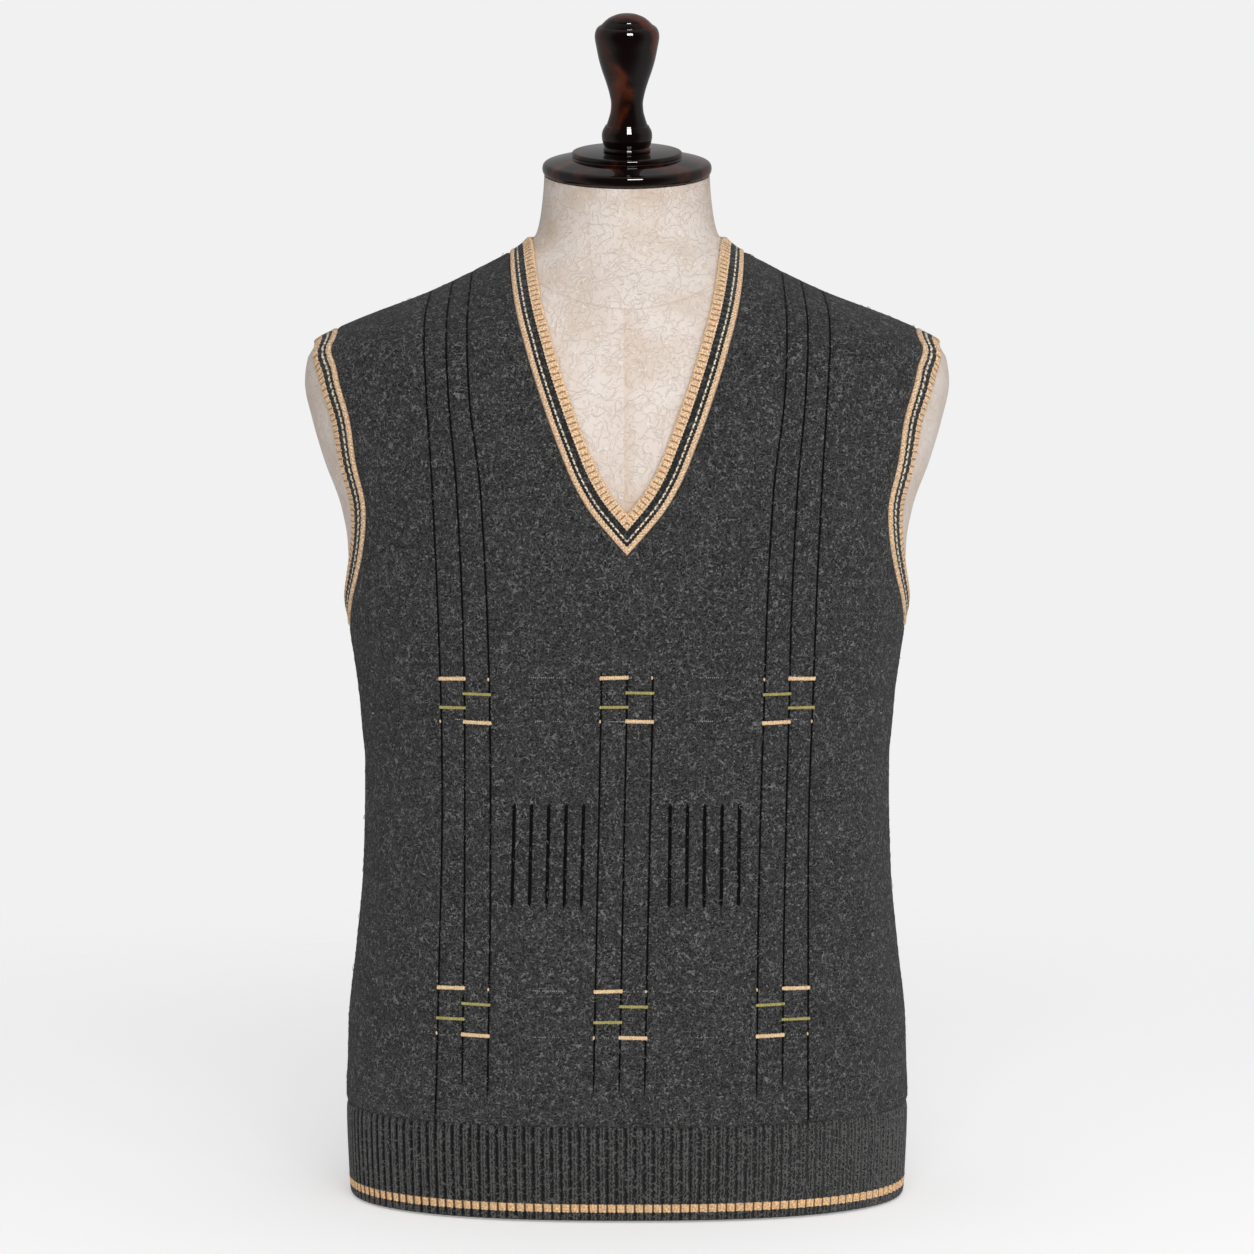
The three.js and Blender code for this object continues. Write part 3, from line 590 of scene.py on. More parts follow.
def fibres_tree() -> bpy.types.NodeTree:
    """Scatter short curled fibres flat over a cloth's outer face.

    Returns:
        A tree that reads the cloth's attribute outer, 1 on the face that shows.
    """
    floats = {"Spacing": ("NodeSocketFloat", 4.0), "Thickness": ("NodeSocketFloat", 0.3)}
    floats["Seed"] = ("NodeSocketInt", 0)
    tree = new_tree("Loose fibres", {**floats, "Material": ("NodeSocketMaterial", None)})
    group = add(tree, "NodeGroupInput").node
    given = group.outputs
    outer = add(tree, "GeometryNodeInputNamedAttribute", {"Name": "outer"}, data_type="FLOAT")
    shows = add(tree, "FunctionNodeCompare", {0: outer, 1: 0.99}, data_type="FLOAT", operation="GREATER_THAN")
    gap = add(tree, "ShaderNodeMath", {0: given["Spacing"], 1: MM}, operation="MULTIPLY")
    square = add(tree, "ShaderNodeMath", {0: gap, 1: 2.0}, operation="POWER")
    density = add(tree, "ShaderNodeMath", {0: 1.0, 1: square}, operation="DIVIDE")
    over = {"Mesh": given["Geometry"], "Selection": shows, "Density": density, "Seed": given["Seed"]}
    spots = add(tree, "GeometryNodeDistributePointsOnFaces", over, distribute_method="RANDOM").node
    width = add(tree, "ShaderNodeMath", {0: given["Thickness"], 1: MM / 2}, operation="MULTIPLY")
    section = add(tree, "GeometryNodeCurvePrimitiveCircle", {"Resolution": 3, "Radius": width})
    shapes = []
    for radius, sweep in FIBRE_ARCS:
        bend = {"Resolution": 5, "Radius": radius * MM, "Sweep Angle": math.radians(sweep)}
        arc = add(tree, "GeometryNodeCurveArc", bend, mode="RADIUS")
        sides = {"Curve": arc, "Profile Curve": section, "Fill Caps": True}
        shapes.append(add(tree, "GeometryNodeCurveToMesh", sides))
    basket = tree.nodes.new("GeometryNodeGeometryToInstance")
    for shape in shapes:
        tree.links.new(shape, basket.inputs[0])
    spin = {0: (-0.05, -0.05, 0.0), 1: (0.05, 0.05, 2 * math.pi), "Seed": given["Seed"]}
    spin_by = add(tree, "FunctionNodeRandomValue", spin, data_type="FLOAT_VECTOR")
    turned = {
        "Rotation": spots.outputs["Rotation"],
        "Rotate By": add(tree, "FunctionNodeEulerToRotation", {0: spin_by}),
    }
    rotation = add(tree, "FunctionNodeRotateRotation", turned, rotation_space="LOCAL")
    size = add(tree, "FunctionNodeRandomValue", {2: 0.6, 3: 1.5, "Seed": given["Seed"]}, out=1)
    scale = add(tree, "ShaderNodeCombineXYZ", {0: size, 1: size, 2: 1.0})
    strands = {"Points": spots.outputs["Points"], "Instance": basket.outputs[0]}
    strands.update({"Pick Instance": True, "Rotation": rotation, "Scale": scale})
    close_tree(tree, add(tree, "GeometryNodeInstanceOnPoints", strands), group)
    return tree


def new_material(name: str) -> tuple[bpy.types.Material, bpy.types.NodeTree]:
    """Make an empty material.

    Args:
        name: Its name.

    Returns:
        The material and its node tree.
    """
    material = bpy.data.materials.new(name)
    material.use_nodes = True
    material.node_tree.nodes.clear()
    return material, material.node_tree


def finish_material(
    tree: bpy.types.NodeTree,
    height: bpy.types.NodeSocket,
    depth: float,
    inputs: Mapping[str, object],
) -> None:
    """End a material in bump and one shader.

    Args:
        tree: The material's tree.
        height: The relief, from 0 to 1.
        depth: How deep that relief is, in millimetres.
        inputs: The shader's own inputs.
    """
    bump = {"Height": height, "Distance": depth * MM, "Strength": 1.0}
    normal = add(tree, "ShaderNodeBump", bump)
    shader = add(tree, "ShaderNodeBsdfPrincipled", {**inputs, "Normal": normal})
    add(tree, "ShaderNodeOutputMaterial", {"Surface": shader})


def reckon(tree: bpy.types.NodeTree, operation: str, *values: object) -> bpy.types.NodeSocket:
    """Add one arithmetic node with its values or sockets in order."""
    return add(tree, "ShaderNodeMath", dict(enumerate(values)), operation=operation)


def ranged(
    tree: bpy.types.NodeTree,
    value: bpy.types.NodeSocket,
    span: tuple[float, float],
    ends: tuple[float, float] = (0.0, 1.0),
) -> bpy.types.NodeSocket:
    """Move a value smoothly from one end to the other while it crosses a span.

    Args:
        tree: The material's tree.
        value: The value.
        span: Where the change starts and ends.
        ends: What it gives before and after.

    Returns:
        The result.
    """
    inputs = {"Value": value, "From Min": span[0], "From Max": span[1]}
    inputs.update({"To Min": ends[0], "To Max": ends[1]})
    return add(tree, "ShaderNodeMapRange", inputs, interpolation_type="SMOOTHSTEP")


def blend(
    tree: bpy.types.NodeTree, share: object, first: object, second: object, kind: str = "MIX"
) -> bpy.types.NodeSocket:
    """Mix two colours, from the first at a share of 0 to the second at 1."""
    inputs = {0: share, 6: first, 7: second}
    return add(tree, "ShaderNodeMix", inputs, out=2, data_type="RGBA", blend_type=kind)


def threads(
    tree: bpy.types.NodeTree,
    place: bpy.types.NodeSocket,
    spacing: float,
    width: float,
    shift: float,
    breaks: float = 0.5,
) -> bpy.types.NodeSocket:
    """Draw curled strands, as broken level lines of a noise.

    Args:
        tree: The material's tree.
        place: Where to read, in millimetres.
        spacing: The size of the curls, in millimetres.
        width: How thick the strands are drawn, as a share of the noise's range.
        shift: Moves this set of strands away from other sets, in millimetres.
        breaks: How much of the strands is left out, around 0.5 for a half.

    Returns:
        1 on a strand and 0 beside it.
    """
    moved = add(tree, "ShaderNodeVectorMath", {0: place, 1: (shift, shift / 2, shift / 3)})
    field_of = {"Vector": moved, "Scale": 1 / spacing, "Detail": 0.8, "Distortion": 0.55}
    level = add(tree, "ShaderNodeTexNoise", field_of)
    off = add(tree, "ShaderNodeMath", {0: level, 1: 0.5}, operation="SUBTRACT")
    gap = add(tree, "ShaderNodeMath", {0: off}, operation="ABSOLUTE")
    line = {"Value": gap, "From Min": width, "From Max": width * 0.35}
    strand = add(tree, "ShaderNodeMapRange", line, interpolation_type="SMOOTHSTEP")
    patches = {"Vector": moved, "Scale": 1.6 / spacing, "Detail": 0.0}
    where = add(tree, "ShaderNodeTexNoise", patches)
    shown = ranged(tree, where, (breaks - 0.03, breaks + 0.05))
    return add(tree, "ShaderNodeMath", {0: strand, 1: shown}, operation="MULTIPLY")


def stitch_relief(
    tree: bpy.types.NodeTree, place: bpy.types.NodeSocket, wale: float, course: float
) -> bpy.types.NodeSocket:
    """Model jersey stitches, two leaning legs in each wale.

    Args:
        tree: The material's tree.
        place: Where to read, in millimetres.
        wale: Width of a stitch, in millimetres.
        course: Height of a stitch, in millimetres.

    Returns:
        The relief, from 0 between stitches to 1 on top of a leg.
    """
    parts = add(tree, "ShaderNodeSeparateXYZ", {0: place}).node
    column = add(tree, "ShaderNodeMath", {0: parts.outputs[0], 1: wale}, operation="DIVIDE")
    within = add(tree, "ShaderNodeMath", {0: column}, operation="FRACT")
    off = add(tree, "ShaderNodeMath", {0: within, 1: 0.5}, operation="SUBTRACT")
    leg = add(tree, "ShaderNodeMath", {0: off}, operation="ABSOLUTE")
    row = add(tree, "ShaderNodeMath", {0: parts.outputs[1], 1: course}, operation="DIVIDE")
    slant = {0: leg, 1: -2.2, 2: row}
    leaning = add(tree, "ShaderNodeMath", slant, operation="MULTIPLY_ADD")
    turns = add(tree, "ShaderNodeMath", {0: leaning, 1: math.pi}, operation="MULTIPLY")
    rise = add(tree, "ShaderNodeMath", {0: turns}, operation="SINE")
    rounded = add(tree, "ShaderNodeMath", {0: rise}, operation="ABSOLUTE")
    across = add(tree, "ShaderNodeMath", {0: leg, 1: 2 * math.pi}, operation="MULTIPLY")
    bulge = add(tree, "ShaderNodeMath", {0: across}, operation="SINE")
    both = add(tree, "ShaderNodeMath", {0: rounded, 1: bulge}, operation="MULTIPLY")
    return add(tree, "ShaderNodeMath", {0: both, 1: 0.6}, operation="POWER")


@dataclass(frozen=True)
class LambswoolJersey:
    """Charcoal marl lambswool, machine-knitted in jersey and milled.

    The milling felts the stitches over, so the eye sees a dark ground with pale curled fibres
    all over it and only a hint of the wales. The fibres are drawn 0.6 mm thick, coarser than
    wool, because a real one is too fine to show. Shade is painted in: the ground is lighter on
    the stitch legs and darker between them, and the sunk ladder lines are painted near black.
    """

    dark: str = "#0F0F0F"
    ground: str = "#484848"
    pale: str = "#868685"
    # Painted shade: the near-black colour painted into the sunk ladder lines.
    furrow: str = "#050505"
    wale: float = 1.9
    course: float = 1.5

    def make(self) -> bpy.types.Material:
        """Build the material on the cloth's UV map and its attribute furrow."""
        material, tree = new_material("charcoal_lambswool_jersey_milled")
        place = add(tree, "ShaderNodeUVMap", uv_map="cloth")
        curls = threads(tree, place, 3.6, 0.038, 57, 0.4)
        loose = threads(tree, place, 5.6, 0.022, 131, 0.43)
        strands = reckon(tree, "MAXIMUM", reckon(tree, "MULTIPLY", curls, 0.45), loose)
        grain = add(tree, "ShaderNodeTexNoise", {"Vector": place, "Scale": 0.85, "Detail": 2.0})
        cells = add(tree, "ShaderNodeTexVoronoi", {"Vector": place, "Scale": 0.95}, out=1)
        marl = add(tree, "ShaderNodeSeparateXYZ", {0: cells})
        cloud = add(tree, "ShaderNodeTexNoise", {"Vector": place, "Scale": 0.05, "Detail": 3.0})
        stitch = stitch_relief(tree, place, self.wale, self.course)
        mixed = reckon(tree, "MULTIPLY_ADD", marl, 0.6, ranged(tree, grain, (0.36, 0.64), (0.0, 0.5)))
        clouded = reckon(tree, "MULTIPLY_ADD", cloud, 0.3, reckon(tree, "SUBTRACT", mixed, 0.34))
        # Painted shade of the stitches: the stitch relief, which also drives the bump, lightens the ground on the
        # legs and darkens it between them.
        tone = reckon(tree, "MULTIPLY_ADD", stitch, 0.22, clouded)
        ground = blend(tree, tone, linear(self.dark), linear(self.ground))
        patchy = add(tree, "ShaderNodeTexNoise", {"Vector": place, "Scale": 0.16, "Detail": 1.0})
        share = ranged(tree, patchy, (0.3, 0.7), (0.25, 0.7))
        speck = ranged(tree, marl, (0.955, 0.97), (0.0, 0.55))
        shown = reckon(tree, "MAXIMUM", reckon(tree, "MULTIPLY", strands, share), speck)
        wool = blend(tree, shown, ground, linear(self.pale))
        # Painted shade in the grooves: where the attribute furrow marks a sunk ladder line, the colour goes to
        # near black, with jagged edges from the grain.
        sunk = add(tree, "ShaderNodeAttribute", {}, out="Fac", attribute_name="furrow")
        jagged = reckon(tree, "MULTIPLY_ADD", reckon(tree, "SUBTRACT", grain, 0.5), sunk, sunk)
        colour = blend(tree, ranged(tree, jagged, (0.2, 0.46)), wool, linear(self.furrow))
        soft = reckon(tree, "MULTIPLY_ADD", strands, 0.5, grain)
        height = reckon(tree, "MULTIPLY_ADD", stitch, 0.35, soft)
        inputs = {"Base Color": colour, "Roughness": 0.95, "Specular IOR Level": 0.1}
        inputs.update({"Sheen Weight": 0.12, "Sheen Roughness": 0.5, "Sheen Tint": linear("#B4B4B4")})
        finish_material(tree, height, 0.5, inputs)
        return material


@dataclass(frozen=True)
class StripedRibbing:
    """Wool and cotton ribbing, knitted in stripes of charcoal, tan and cream.

    The stripes change between stitches, so their borders are a fine zigzag. Shade is painted
    in: the furrows between the ribs are darker in the same yarn, and so are the hollows of the
    twisted cord on the stripe at the seam.
    between the ribs are darker in the same yarn.
    """

    name: str
    stripes: Sequence[tuple[float, str]]
    width: float
    pitch: float
    # The next three fields set the painted shade in the furrows between the ribs: the span across the band where
    # it shows, how wide it is, and its colour.
    rib_shade_span: tuple[float, float] = (-9.0, 99.0)
    furrow: float = 0.62
    furrow_shade_tint: str = "#C0A080"
    dashes: tuple[float, float] = (98.0, 99.0)
    chain: float = 0.0
    zigzag: float = 0.5
    zigzag_pitch: float = 2.5
    charcoal: str = "#222222"
    pale: str = "#8E8E8C"

    def banded(self, tree: bpy.types.NodeTree, along: object, across: object) -> bpy.types.NodeSocket:
        """Give the stripes' colours, with their jagged borders and the broken one's dashes."""
        saw = reckon(tree, "PINGPONG", along, self.zigzag_pitch / 2)
        jagged = reckon(tree, "MULTIPLY_ADD", saw, 2 * self.zigzag / self.zigzag_pitch, across)
        share = reckon(tree, "DIVIDE", jagged, self.width)
        ramp = add(tree, "ShaderNodeValToRGB", {0: share}).node
        ramp.color_ramp.interpolation = "CONSTANT"
        for number, (start, code) in enumerate(self.stripes):
            at = start / self.width
            stops = ramp.color_ramp.elements
            stop = stops[number] if number < 2 else stops.new(at)
            stop.position = at
            stop.color = linear(code)
        low, high = self.dashes
        inside = reckon(tree, "COMPARE", jagged, (low + high) / 2, (high - low) / 2)
        gaps = ranged(tree, reckon(tree, "PINGPONG", along, self.zigzag_pitch), (0.5, 0.9), (0.85, 0.0))
        return blend(tree, reckon(tree, "MULTIPLY", inside, gaps), ramp.outputs[0], linear(self.charcoal))

    def chains(self, tree: bpy.types.NodeTree, place: object, beside: object) -> bpy.types.NodeSocket:
        """Draw the wavering pale outlines of the stitches, one on each side of a rib."""
        wander = add(tree, "ShaderNodeTexNoise", {"Vector": place, "Scale": 0.55, "Detail": 2.0})
        shifted = reckon(tree, "MULTIPLY_ADD", wander, 5.0, reckon(tree, "SUBTRACT", beside, 2.5))
        off = reckon(tree, "ABSOLUTE", reckon(tree, "SUBTRACT", shifted, 0.34 * self.pitch))
        return ranged(tree, off, (0.55, 0.15), (0.0, self.chain))

    def make(self) -> bpy.types.Material:
        """Build the material on the band's UV map, millimetres along it and across it."""
        material, tree = new_material(self.name)
        place = add(tree, "ShaderNodeUVMap", uv_map="cloth")
        parts = add(tree, "ShaderNodeSeparateXYZ", {0: place}).node
        along, across = parts.outputs[0], parts.outputs[1]
        grain = add(tree, "ShaderNodeTexNoise", {"Vector": place, "Scale": 0.9, "Detail": 2.0})
        uneven = ranged(tree, grain, (0.34, 0.66), (0.62, 1.26))
        dyed = add(
            tree,
            "ShaderNodeVectorMath",
            {0: self.banded(tree, along, across), "Scale": uneven},
            operation="SCALE",
        )
        # Painted shade: the dyed colour is darkened in the furrows between the ribs, inside the span where they
        # are shaded.
        beside = reckon(tree, "PINGPONG", along, self.pitch / 2)
        low, high = self.rib_shade_span
        lined = reckon(
            tree,
            "MULTIPLY",
            ranged(tree, across, (low, low + 0.9)),
            ranged(tree, across, (high, high - 1.1)),
        )
        dark = ranged(tree, beside, (self.furrow * 1.3, self.furrow * 0.45))
        shade = blend(
            tree, reckon(tree, "MULTIPLY", dark, lined), dyed, linear(self.furrow_shade_tint), "MULTIPLY"
        )
        # Painted shade in the hollows of the twisted cord on the stripe at the seam, in the same tint.
        twist = reckon(tree, "PINGPONG", reckon(tree, "ADD", along, across), self.zigzag_pitch / 2)
        cord = reckon(tree, "MULTIPLY", ranged(tree, twist, (0.5, 0.1)), ranged(tree, across, (4.0, 3.4)))
        corded = reckon(tree, "MULTIPLY", cord, 0.5 if low > 0 else 0.0)
        roped = blend(tree, corded, shade, linear(self.furrow_shade_tint), "MULTIPLY")
        strands = reckon(tree, "MULTIPLY", threads(tree, place, 3.4, 0.05, 23), 0.3)
        pale = reckon(tree, "MAXIMUM", strands, self.chains(tree, place, beside))
        colour = blend(tree, pale, roped, linear(self.pale))
        stitch = stitch_relief(tree, place, self.zigzag_pitch, 1.6)
        height = reckon(tree, "MULTIPLY_ADD", grain, 0.5, stitch)
        inputs = {"Base Color": colour, "Roughness": 0.9, "Specular IOR Level": 0.15}
        inputs.update({"Sheen Weight": 0.15, "Sheen Roughness": 0.5})
        finish_material(tree, height, 0.35, inputs)
        return material


@dataclass(frozen=True)
class PlainYarn:
    """A single dyed yarn, spun of two plies.

    Its colour is even, with the small lights and darks of the twist.
    """

    name: str
    colour: str
    shadow: str
    grain: float = 0.8

    def make(self) -> bpy.types.Material:
        """Build the material on Object coordinates, in metres."""
        material, tree = new_material(self.name)
        place = add(tree, "ShaderNodeTexCoord", out="Object")
        twist = {"Vector": place, "Scale": 1 / (self.grain * MM), "Detail": 2.0}
        grain = add(tree, "ShaderNodeTexNoise", twist)
        tone = add(tree, "ShaderNodeMapRange", {"Value": grain, "From Min": 0.35, "From Max": 0.65})
        shades = {0: tone, 6: linear(self.shadow), 7: linear(self.colour)}
        colour = add(tree, "ShaderNodeMix", shades, out=2, data_type="RGBA")
        inputs = {"Base Color": colour, "Roughness": 0.85, "Specular IOR Level": 0.2}
        inputs.update({"Sheen Weight": 0.15})
        finish_material(tree, grain, 0.15, inputs)
        return material


@dataclass(frozen=True)
class GessoedPaper:
    """Papier-mache under a coat of warm white gesso.

    The paper's wrinkles show through as fine raised threads with a painted highlight, a little
    paler than the ground, some of them with a painted shade of beige to one side, and the coat is
    stained where hands and rims have touched it.
    """

    ground: str = "#E3D8D0"
    # warm is the coat's own warmer tone and the seam's colour, and also the colour of the painted shade beside the
    # raised threads; thread is their painted highlight.
    warm: str = "#D2BCA9"
    thread_highlight: str = "#F4EDE5"
    stain: str = "#BBA182"

    def make(self) -> bpy.types.Material:
        """Build the material on Object coordinates, in metres."""
        material, tree = new_material("papier_mache_gessoed")
        metres = add(tree, "ShaderNodeTexCoord", out="Object")
        place = add(tree, "ShaderNodeVectorMath", {0: metres, "Scale": 1 / MM}, operation="SCALE")
        large = threads(tree, place, 13.0, 0.012, 0, 0.3)
        small = threads(tree, place, 8.0, 0.018, 211, 0.38)
        fine = threads(tree, place, 5.5, 0.024, 401, 0.44)
        some = add(tree, "ShaderNodeMath", {0: large, 1: small}, operation="MAXIMUM")
        lines = add(tree, "ShaderNodeMath", {0: some, 1: fine}, operation="MAXIMUM")
        cloud = add(tree, "ShaderNodeTexNoise", {"Vector": place, "Scale": 0.03, "Detail": 4.0})
        mottle = add(tree, "ShaderNodeMapRange", {"Value": cloud, "From Min": 0.4, "From Max": 0.8})
        tones = {0: mottle, 6: linear(self.ground), 7: linear(self.warm)}
        ground = add(tree, "ShaderNodeMix", tones, out=2, data_type="RGBA")
        parts = add(tree, "ShaderNodeSeparateXYZ", {0: place}).node
        high = {"Value": parts.outputs[2], "From Min": 650.0, "From Max": 690.0}
        near_cap = add(tree, "ShaderNodeMapRange", high)
        spots = add(tree, "ShaderNodeTexNoise", {"Vector": place, "Scale": 0.06, "Detail": 3.0})
        patch = {"Value": spots, "From Min": 0.42, "From Max": 0.75, "To Max": 0.6}
        stain = add(tree, "ShaderNodeMapRange", patch)
        aged = add(tree, "ShaderNodeMath", {0: near_cap, 1: stain}, operation="MULTIPLY")
        touched = {0: aged, 6: ground, 7: linear(self.stain)}
        coat = add(tree, "ShaderNodeMix", touched, out=2, data_type="RGBA")
        # Painted shade: a wider copy of the threads, shifted about 0.7 mm to one side, darkens the coat towards
        # warm beside them.
        beside = reckon(
            tree,
            "MAXIMUM",
            threads(tree, place, 13.0, 0.024, 0.7, 0.34),
            threads(tree, place, 8.0, 0.036, 211.7, 0.42),
        )
        shade_edged = blend(tree, reckon(tree, "MULTIPLY", beside, 0.55), coat, linear(self.warm))
        # Painted highlight: the raised threads are blended halfway to the pale thread colour.
        faint = add(tree, "ShaderNodeMath", {0: lines, 1: 0.5}, operation="MULTIPLY")
        threaded = {0: faint, 6: shade_edged, 7: linear(self.thread_highlight)}
        pale = add(tree, "ShaderNodeMix", threaded, out=2, data_type="RGBA")
        seam = add(tree, "ShaderNodeAttribute", {}, out="Fac", attribute_name="furrow")
        lined = {0: reckon(tree, "MULTIPLY", seam, 0.7), 6: pale, 7: linear(self.warm)}
        colour = add(tree, "ShaderNodeMix", lined, out=2, data_type="RGBA")
        grit = add(tree, "ShaderNodeTexNoise", {"Vector": place, "Scale": 1.1, "Detail": 2.0})
        height = add(tree, "ShaderNodeMath", {0: grit, 1: 0.25, 2: lines}, operation="MULTIPLY_ADD")
        inputs = {"Base Color": colour, "Roughness": 0.6, "Specular IOR Level": 0.3}
        finish_material(tree, height, 0.26, inputs)
        return material


@dataclass(frozen=True)
class TortoiseLacquer:
    """Turned hardwood under many coats of polished brown-black lacquer.

    It is nearly black, with clouds of red-brown where the coats are thin, and mirror bright.
    """

    black: str = "#0E0604"
    amber: str = "#5A2610"

    def make(self) -> bpy.types.Material:
        """Build the material on Object coordinates, in metres."""
        material, tree = new_material("turned_wood_lacquered")
        metres = add(tree, "ShaderNodeTexCoord", out="Object")
        stretch = {"Vector": metres, "Scale": (42.0, 42.0, 24.0)}
        place = add(tree, "ShaderNodeMapping", stretch)
        clouds = {"Vector": place, "Scale": 1.0, "Detail": 3.0, "Distortion": 0.6}
        cloud = add(tree, "ShaderNodeTexNoise", clouds)
        thin = {"Value": cloud, "From Min": 0.48, "From Max": 0.7, "To Max": 0.8}
        share = add(tree, "ShaderNodeMapRange", thin, interpolation_type="SMOOTHSTEP")
        tones = {0: share, 6: linear(self.black), 7: linear(self.amber)}
        colour = add(tree, "ShaderNodeMix", tones, out=2, data_type="RGBA")
        ripple = add(tree, "ShaderNodeTexNoise", {"Vector": place, "Scale": 0.5, "Detail": 0.0})
        inputs = {"Base Color": colour, "Roughness": 0.03, "Specular IOR Level": 0.5}
        finish_material(tree, ripple, 0.05, inputs)
        return material


@dataclass(frozen=True)
class Yarns:
    """The yarn colours of the vest."""

    charcoal: str = "#262626"
    tan: str = "#F7D3AB"
    bright_tan: str = "#F4C48E"
    cream: str = "#F3E4CC"


@dataclass
class Seams:
    """The vest's neckline and armhole seams, as lines on the figure."""

    figure: Figure
    neckline: Table = (
        (441, 0),
        (451, 9),
        (472, 26),
        (490, 36),
        (510, 44.2),
        (532, 52.4),
        (571, 65),
        (605, 73.8),
        (625, 76.6),
        (650, 78.2),
    )
    back_neck: float = 641
    armhole_middle: float = 486.6
    armhole_half_height: float = 99.9
    armhole_half_width: float = 68
    armhole_square_above: float = 2.9
    armhole_square_below: float = 2.1

    def __post_init__(self) -> None:
        """Make the neckline's curve and find where it reaches the shoulder."""
        self.neck_half = Track([row[0] for row in self.neckline], [row[1] for row in self.neckline])
        climb = np.linspace(self.neckline[0][0], self.neckline[-1][0], 161)
        reached = self.neck_half(climb) >= self.figure.half(climb)
        self.climb = climb[~reached]
        self.shoulder = float(self.climb[-1])

    def neck_line(self, before: float, after: float) -> np.ndarray:
        """Follow the neckline on the +X side.

        Args:
            before: How far to start below the point of the V.
            after: How far to go on past the middle of the back, as a share of that half.

        Returns:
            The line's points, from the front to the back.
        """
        front = self.figure.point(
            self.figure.turn_at(self.neck_half(self.climb), self.climb), self.climb
        )
        part = np.linspace(0, 1 + after, 161)[1:]
        height = self.shoulder + (self.back_neck - self.shoulder) * np.minimum(part, 1)
        back = self.figure.point(QUARTER + QUARTER * part, height)
        low = self.neckline[0][0] - before
        start = self.figure.point(self.figure.turn_at(np.array([-before]), low), np.array([low]))
        return np.concatenate([start, front, back] if before > 0 else [front, back])

    def armhole_line(self) -> np.ndarray:
        """Follow the +X armhole once round, its last point on its first."""
        angle = np.linspace(0, 4 * QUARTER, 361)
        up = -np.cos(angle)
        square = np.where(up > 0, self.armhole_square_above, self.armhole_square_below)
        reach = (np.abs(up) ** square + np.abs(np.sin(angle)) ** square) ** (-1 / square)
        height = self.armhole_middle + self.armhole_half_height * up * reach
        y = self.armhole_half_width * np.sin(angle) * reach
        return self.side_point(y, height)

    def side_point(self, y: np.ndarray, height: np.ndarray) -> np.ndarray:
        """Give the points of the figure's +X side that lie at y and a height."""
        depth = np.where(y < 0, self.figure.front(height), self.figure.back(height))
        square = self.figure.square(height)
        across = (1 - np.abs(y / depth) ** square) ** (1 / square)
        return np.stack([self.figure.half(height) * across, y, height], axis=-1)

    def neck_gap(self, points: np.ndarray, turn: np.ndarray) -> np.ndarray:
        """Measure how far points of the cloth are outside the neckline, less than 0 inside."""
        x, height = np.abs(points[:, 0]), points[:, 2]
        front = (x < self.neck_half(height)) & (height > self.neckline[0][0])
        part = (np.abs(turn) - QUARTER) / QUARTER
        back = height > self.shoulder + (self.back_neck - self.shoulder) * part
        hole = np.where(np.abs(turn) < QUARTER, front, back)
        mirrored = points * [[1.0, 1.0, 1.0]]
        mirrored[:, 0] = x
        gap = distance_to(self.neck_line(0, 0.03), mirrored)
        return np.where(hole, -gap, gap)

    def armhole_gap(self, points: np.ndarray) -> np.ndarray:
        """Measure how far points of the cloth are outside the armholes, less than 0 inside."""
        up = (points[:, 2] - self.armhole_middle) / self.armhole_half_height
        square = np.where(up > 0, self.armhole_square_above, self.armhole_square_below)
        over = np.abs(points[:, 1]) / self.armhole_half_width
        hole = np.abs(up) ** square + over**square < 1
        mirrored = np.column_stack([np.abs(points[:, 0]), points[:, 1:]])
        gap = distance_to(self.armhole_line(), mirrored)
        return np.where(hole, -gap, gap)


@dataclass(frozen=True)
class Crease:
    """A soft trough or ridge in the cloth, between two places on the figure."""

    start: tuple[float, float]
    end: tuple[float, float]
    width: float
    depth: float

    def relief(self, figure: Figure, points: np.ndarray) -> np.ndarray:
        """Give how far the crease sinks the cloth at points.

        Args:
            figure: What the cloth lies on.
            points: Places of the cloth on it.

        Returns:
            A depth for each point, less than 0 on a ridge.
        """
        part = np.linspace(0, 1, 9)
        turn = np.radians(self.start[0] + (self.end[0] - self.start[0]) * part)
        height = self.start[1] + (self.end[1] - self.start[1]) * part
        line = figure.point(turn, height)
        off = distance_to(line, points) / self.width
        return self.depth * np.exp(-off * off)


@dataclass(frozen=True)
class Furrow:
    """A sunk line of dropped stitches that runs up the front."""

    at: Callable[[np.ndarray], np.ndarray]
    width: float
    depth: float
    low: float
    high: float
    fade: float

    def share(self, x: np.ndarray, height: np.ndarray) -> np.ndarray:
        """Say how deep in the line points are, from 0 beside it to 1 at its middle."""
        off = np.clip(1 - np.abs(x - self.at(height)) / self.width, 0, 1)
        above = smooth(height, self.low - self.fade, self.low + self.fade)
        below = smooth(height, self.high + 1.5, self.high - 1.5)
        return off * above * below


